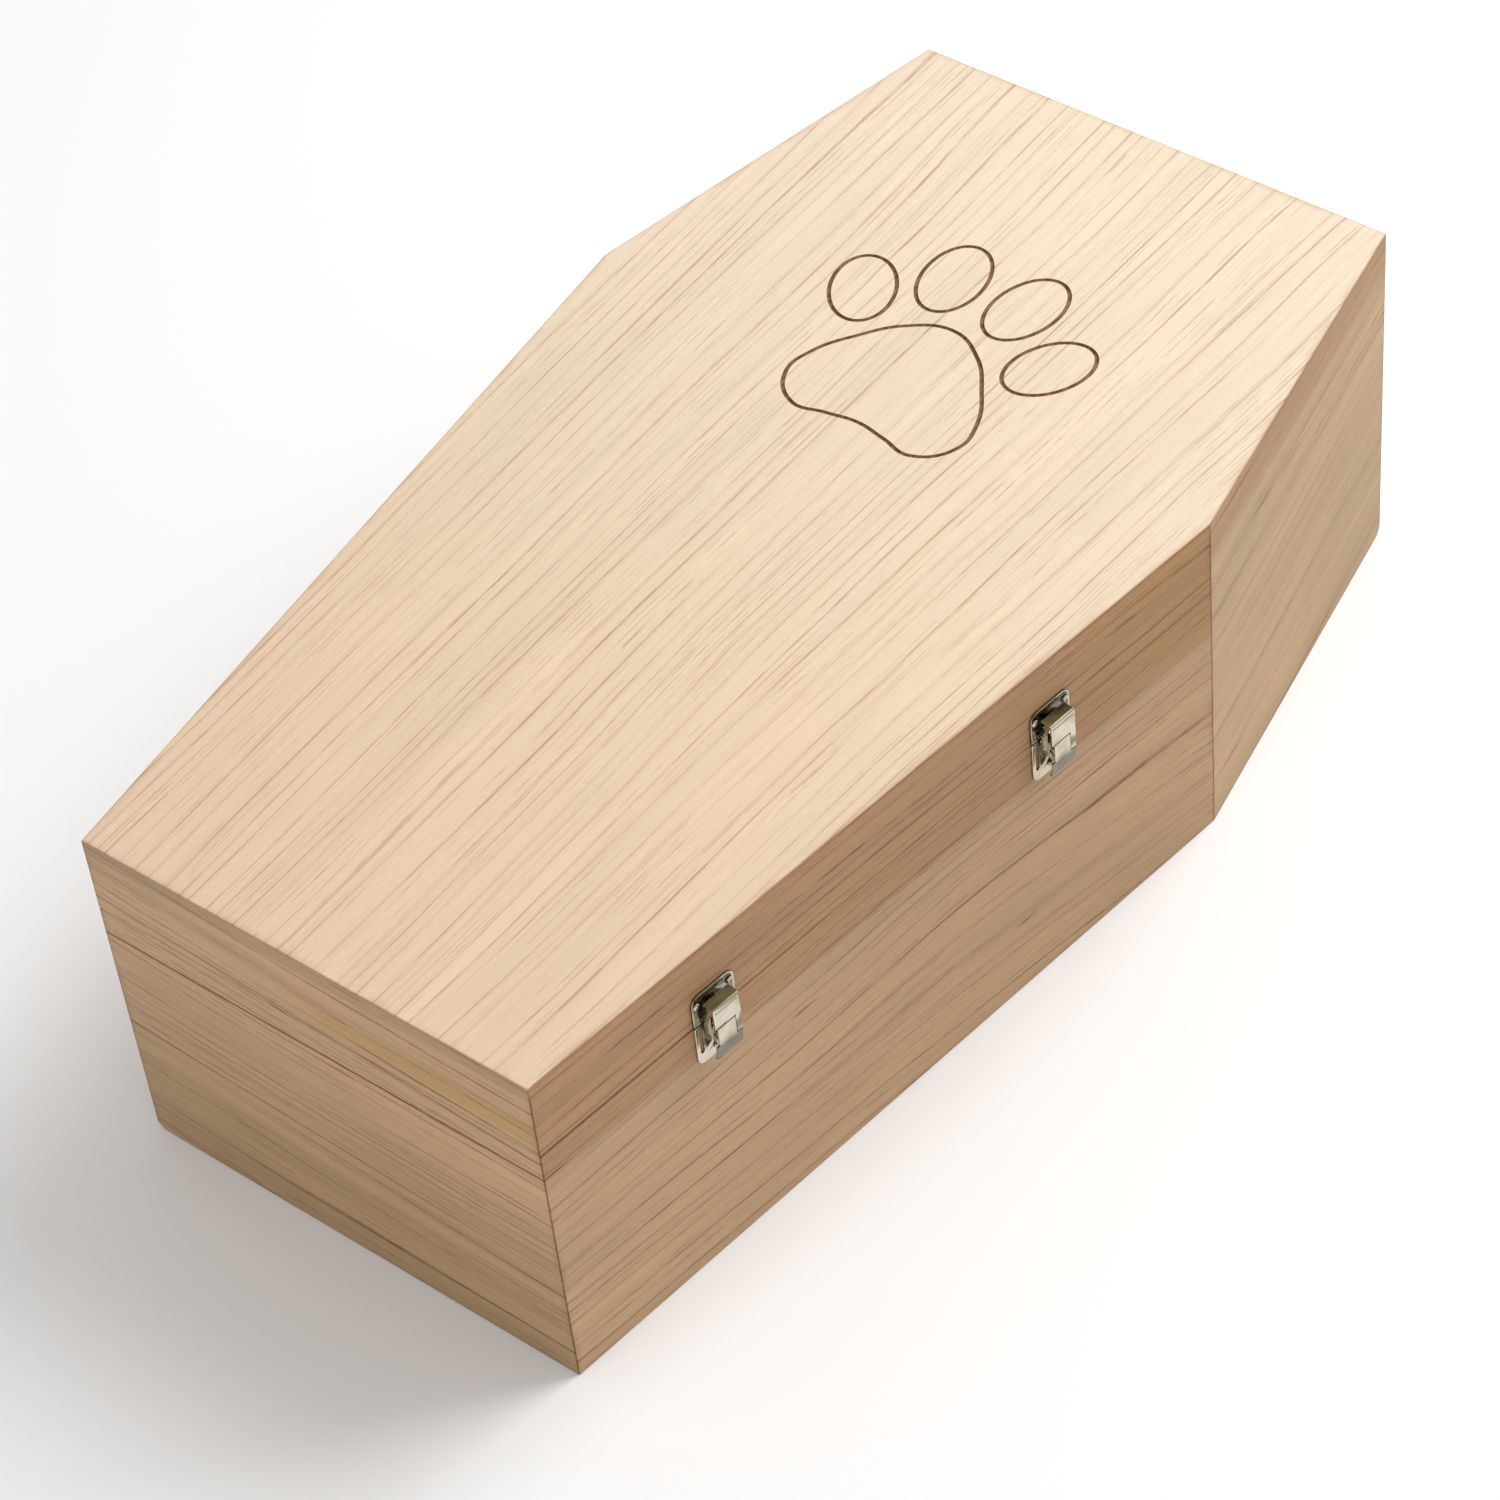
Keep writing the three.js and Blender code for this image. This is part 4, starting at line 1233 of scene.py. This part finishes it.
class COFFIN_OT_pins(bpy.types.Operator):
    """Makes the pins of the latches and the hinges"""

    bl_idname = "coffin.pins"
    bl_label = "Pins"
    bl_options = {"REGISTER", "UNDO"}

    def execute(self, context):
        metal = context.scene.coffin_metal
        material = nickel("steel pins", metal.steel, metal.steel_roughness)
        ears = rivet_pin(PIN_RADIUS, EAR["inner"] + SHEET, 1.35, LEVER_PIVOT)
        arms = rivet_pin(PIN_RADIUS, HOOK["half_width"], 1.35, HOOK_PIVOT)
        fit_all({"lever_pin": ears, "hook_pin": arms}, LATCHES, latch_place, material)
        knuckles = rivet_pin(KNUCKLE["pin"], LEAF["half_length"], 1.1, (KNUCKLE["y"], 0))
        fit_all({"pin": knuckles}, HINGES, hinge_place, material)
        return {"FINISHED"}


class COFFIN_OT_screws(bpy.types.Operator):
    """Makes one screw and copies it to every hole of the latches and the hinges"""

    bl_idname = "coffin.screws"
    bl_label = "Screws"
    bl_options = {"REGISTER", "UNDO"}

    def execute(self, context):
        metal = context.scene.coffin_metal
        material = nickel("screw nickel", metal.nickel, metal.nickel_roughness)
        pattern = screw()
        turn = 0
        for part, spots in (("catch_screw", CATCH_SCREWS), ("base_screw", BASE_SCREWS)):
            for latch in LATCHES:
                for number, (x, z) in enumerate(spots, start=1):
                    turn += 1
                    node = f"{latch}_{part}_{number}"
                    self.drive(pattern, node, latch_place(latch), (x, FACE, z), turn, material)
        across, up = HINGE_SCREW
        for part, side in (("lid_screw", 1), ("base_screw", -1)):
            for hinge in HINGES:
                for number, way in enumerate((1, -1), start=1):
                    turn += 1
                    spot = (way * across, WALL_GAP + LEAF["thickness"], side * up)
                    self.drive(pattern, f"{hinge}_{part}_{number}", hinge_place(hinge), spot, turn, material)
        bpy.data.objects.remove(pattern)
        return {"FINISHED"}

    def drive(self, pattern, node, place, spot, turn, material):
        """Each screw stops at a turn of its own."""
        spun = Matrix.Rotation(turn * SCREW_TURN, 4, "Y")
        fit(pattern, node, place @ Matrix.Translation(spot) @ spun, material)


class COFFIN_OT_stage(bpy.types.Operator):
    """Sets up the floor, the soft light and the camera"""

    bl_idname = "coffin.stage"
    bl_label = "Floor, light and camera"
    bl_options = {"REGISTER", "UNDO"}

    def execute(self, context):
        stage = context.scene.coffin_stage
        self.floor(stage)
        self.surroundings(stage)
        self.light("key light", (0.75, 1.5, 2.4), (0, 0.1, 0.1), 1.7, stage.key_power)
        self.light("foot light", (-0.3, -2.4, 1.0), (0, -0.35, 0.1), 1.4, stage.foot_power)
        self.camera()
        context.scene.view_settings.view_transform = "Standard"
        return {"FINISHED"}

    def floor(self, stage):
        bpy.ops.object.select_all(action="DESELECT")
        bpy.ops.mesh.primitive_plane_add(size=30, location=(0, 0, 0))
        floor = bpy.context.object
        floor.name = "studio_floor"
        material, _, shader = new_material("pale floor")
        shader.inputs["Base Color"].default_value = stage.floor
        shader.inputs["Roughness"].default_value = 0.9
        shader.inputs["Specular IOR Level"].default_value = 0.1
        dress(floor, material)

    def surroundings(self, stage):
        world = bpy.data.worlds.new("pale surroundings")
        world.use_nodes = True
        background = world.node_tree.nodes["Background"]
        background.inputs["Color"].default_value = stage.surroundings
        background.inputs["Strength"].default_value = stage.fill
        bpy.context.scene.world = world

    def light(self, name, place, aim, size, power):
        bpy.ops.object.select_all(action="DESELECT")
        bpy.ops.object.light_add(type="AREA", location=place)
        lamp = bpy.context.object
        lamp.name = name
        lamp.data.size = size
        lamp.data.energy = power
        lamp.rotation_euler = (Vector(aim) - Vector(place)).to_track_quat("-Z", "Y").to_euler()

    def camera(self):
        azimuth, elevation = math.radians(CAMERA_AZIMUTH), math.radians(CAMERA_ELEVATION)
        level = math.cos(elevation)
        back = Vector((math.sin(azimuth) * level, -math.cos(azimuth) * level, math.sin(elevation)))
        bpy.ops.object.camera_add(location=Vector(CAMERA_AIM) + back * CAMERA_DISTANCE)
        camera = bpy.context.object
        camera.name = "photograph camera"
        roll = Matrix.Rotation(math.radians(CAMERA_ROLL), 3, "Z")
        camera.rotation_euler = ((-back).to_track_quat("-Z", "Y").to_matrix() @ roll).to_euler()
        camera.data.lens = CAMERA_LENS
        camera.data.sensor_width = 36
        bpy.context.scene.camera = camera


OPERATORS = (
    COFFIN_OT_stage,
    COFFIN_OT_top_board,
    COFFIN_OT_walls,
    COFFIN_OT_floor_board,
    COFFIN_OT_latches,
    COFFIN_OT_hinges,
    COFFIN_OT_pins,
    COFFIN_OT_screws,
)


class COFFIN_PT_panel(bpy.types.Panel):
    """The steps that finish the coffin"""

    bl_idname = "COFFIN_PT_panel"
    bl_label = "Wooden pet coffin"
    bl_space_type = "VIEW_3D"
    bl_region_type = "UI"
    bl_category = "Coffin"

    def draw(self, context):
        scene = context.scene
        for group in (scene.coffin_wood, scene.coffin_metal, scene.coffin_stage):
            box = self.layout.box()
            for name in group.__annotations__:
                box.prop(group, name)
        for operator in OPERATORS:
            self.layout.operator(operator.bl_idname)


CLASSES = (CoffinWood, CoffinMetal, CoffinStage, *OPERATORS, COFFIN_PT_panel)


def register():
    for cls in CLASSES:
        bpy.utils.register_class(cls)
    bpy.types.Scene.coffin_wood = PointerProperty(type=CoffinWood)
    bpy.types.Scene.coffin_metal = PointerProperty(type=CoffinMetal)
    bpy.types.Scene.coffin_stage = PointerProperty(type=CoffinStage)


def unregister():
    del bpy.types.Scene.coffin_wood
    del bpy.types.Scene.coffin_metal
    del bpy.types.Scene.coffin_stage
    for cls in reversed(CLASSES):
        bpy.utils.unregister_class(cls)


def main():
    register()
    bpy.ops.coffin.stage()
    bpy.ops.coffin.top_board()
    bpy.ops.coffin.walls()
    bpy.ops.coffin.floor_board()
    bpy.ops.coffin.latches()
    bpy.ops.coffin.hinges()
    bpy.ops.coffin.pins()
    bpy.ops.coffin.screws()
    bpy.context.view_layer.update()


if __name__ == "__main__":
    main()
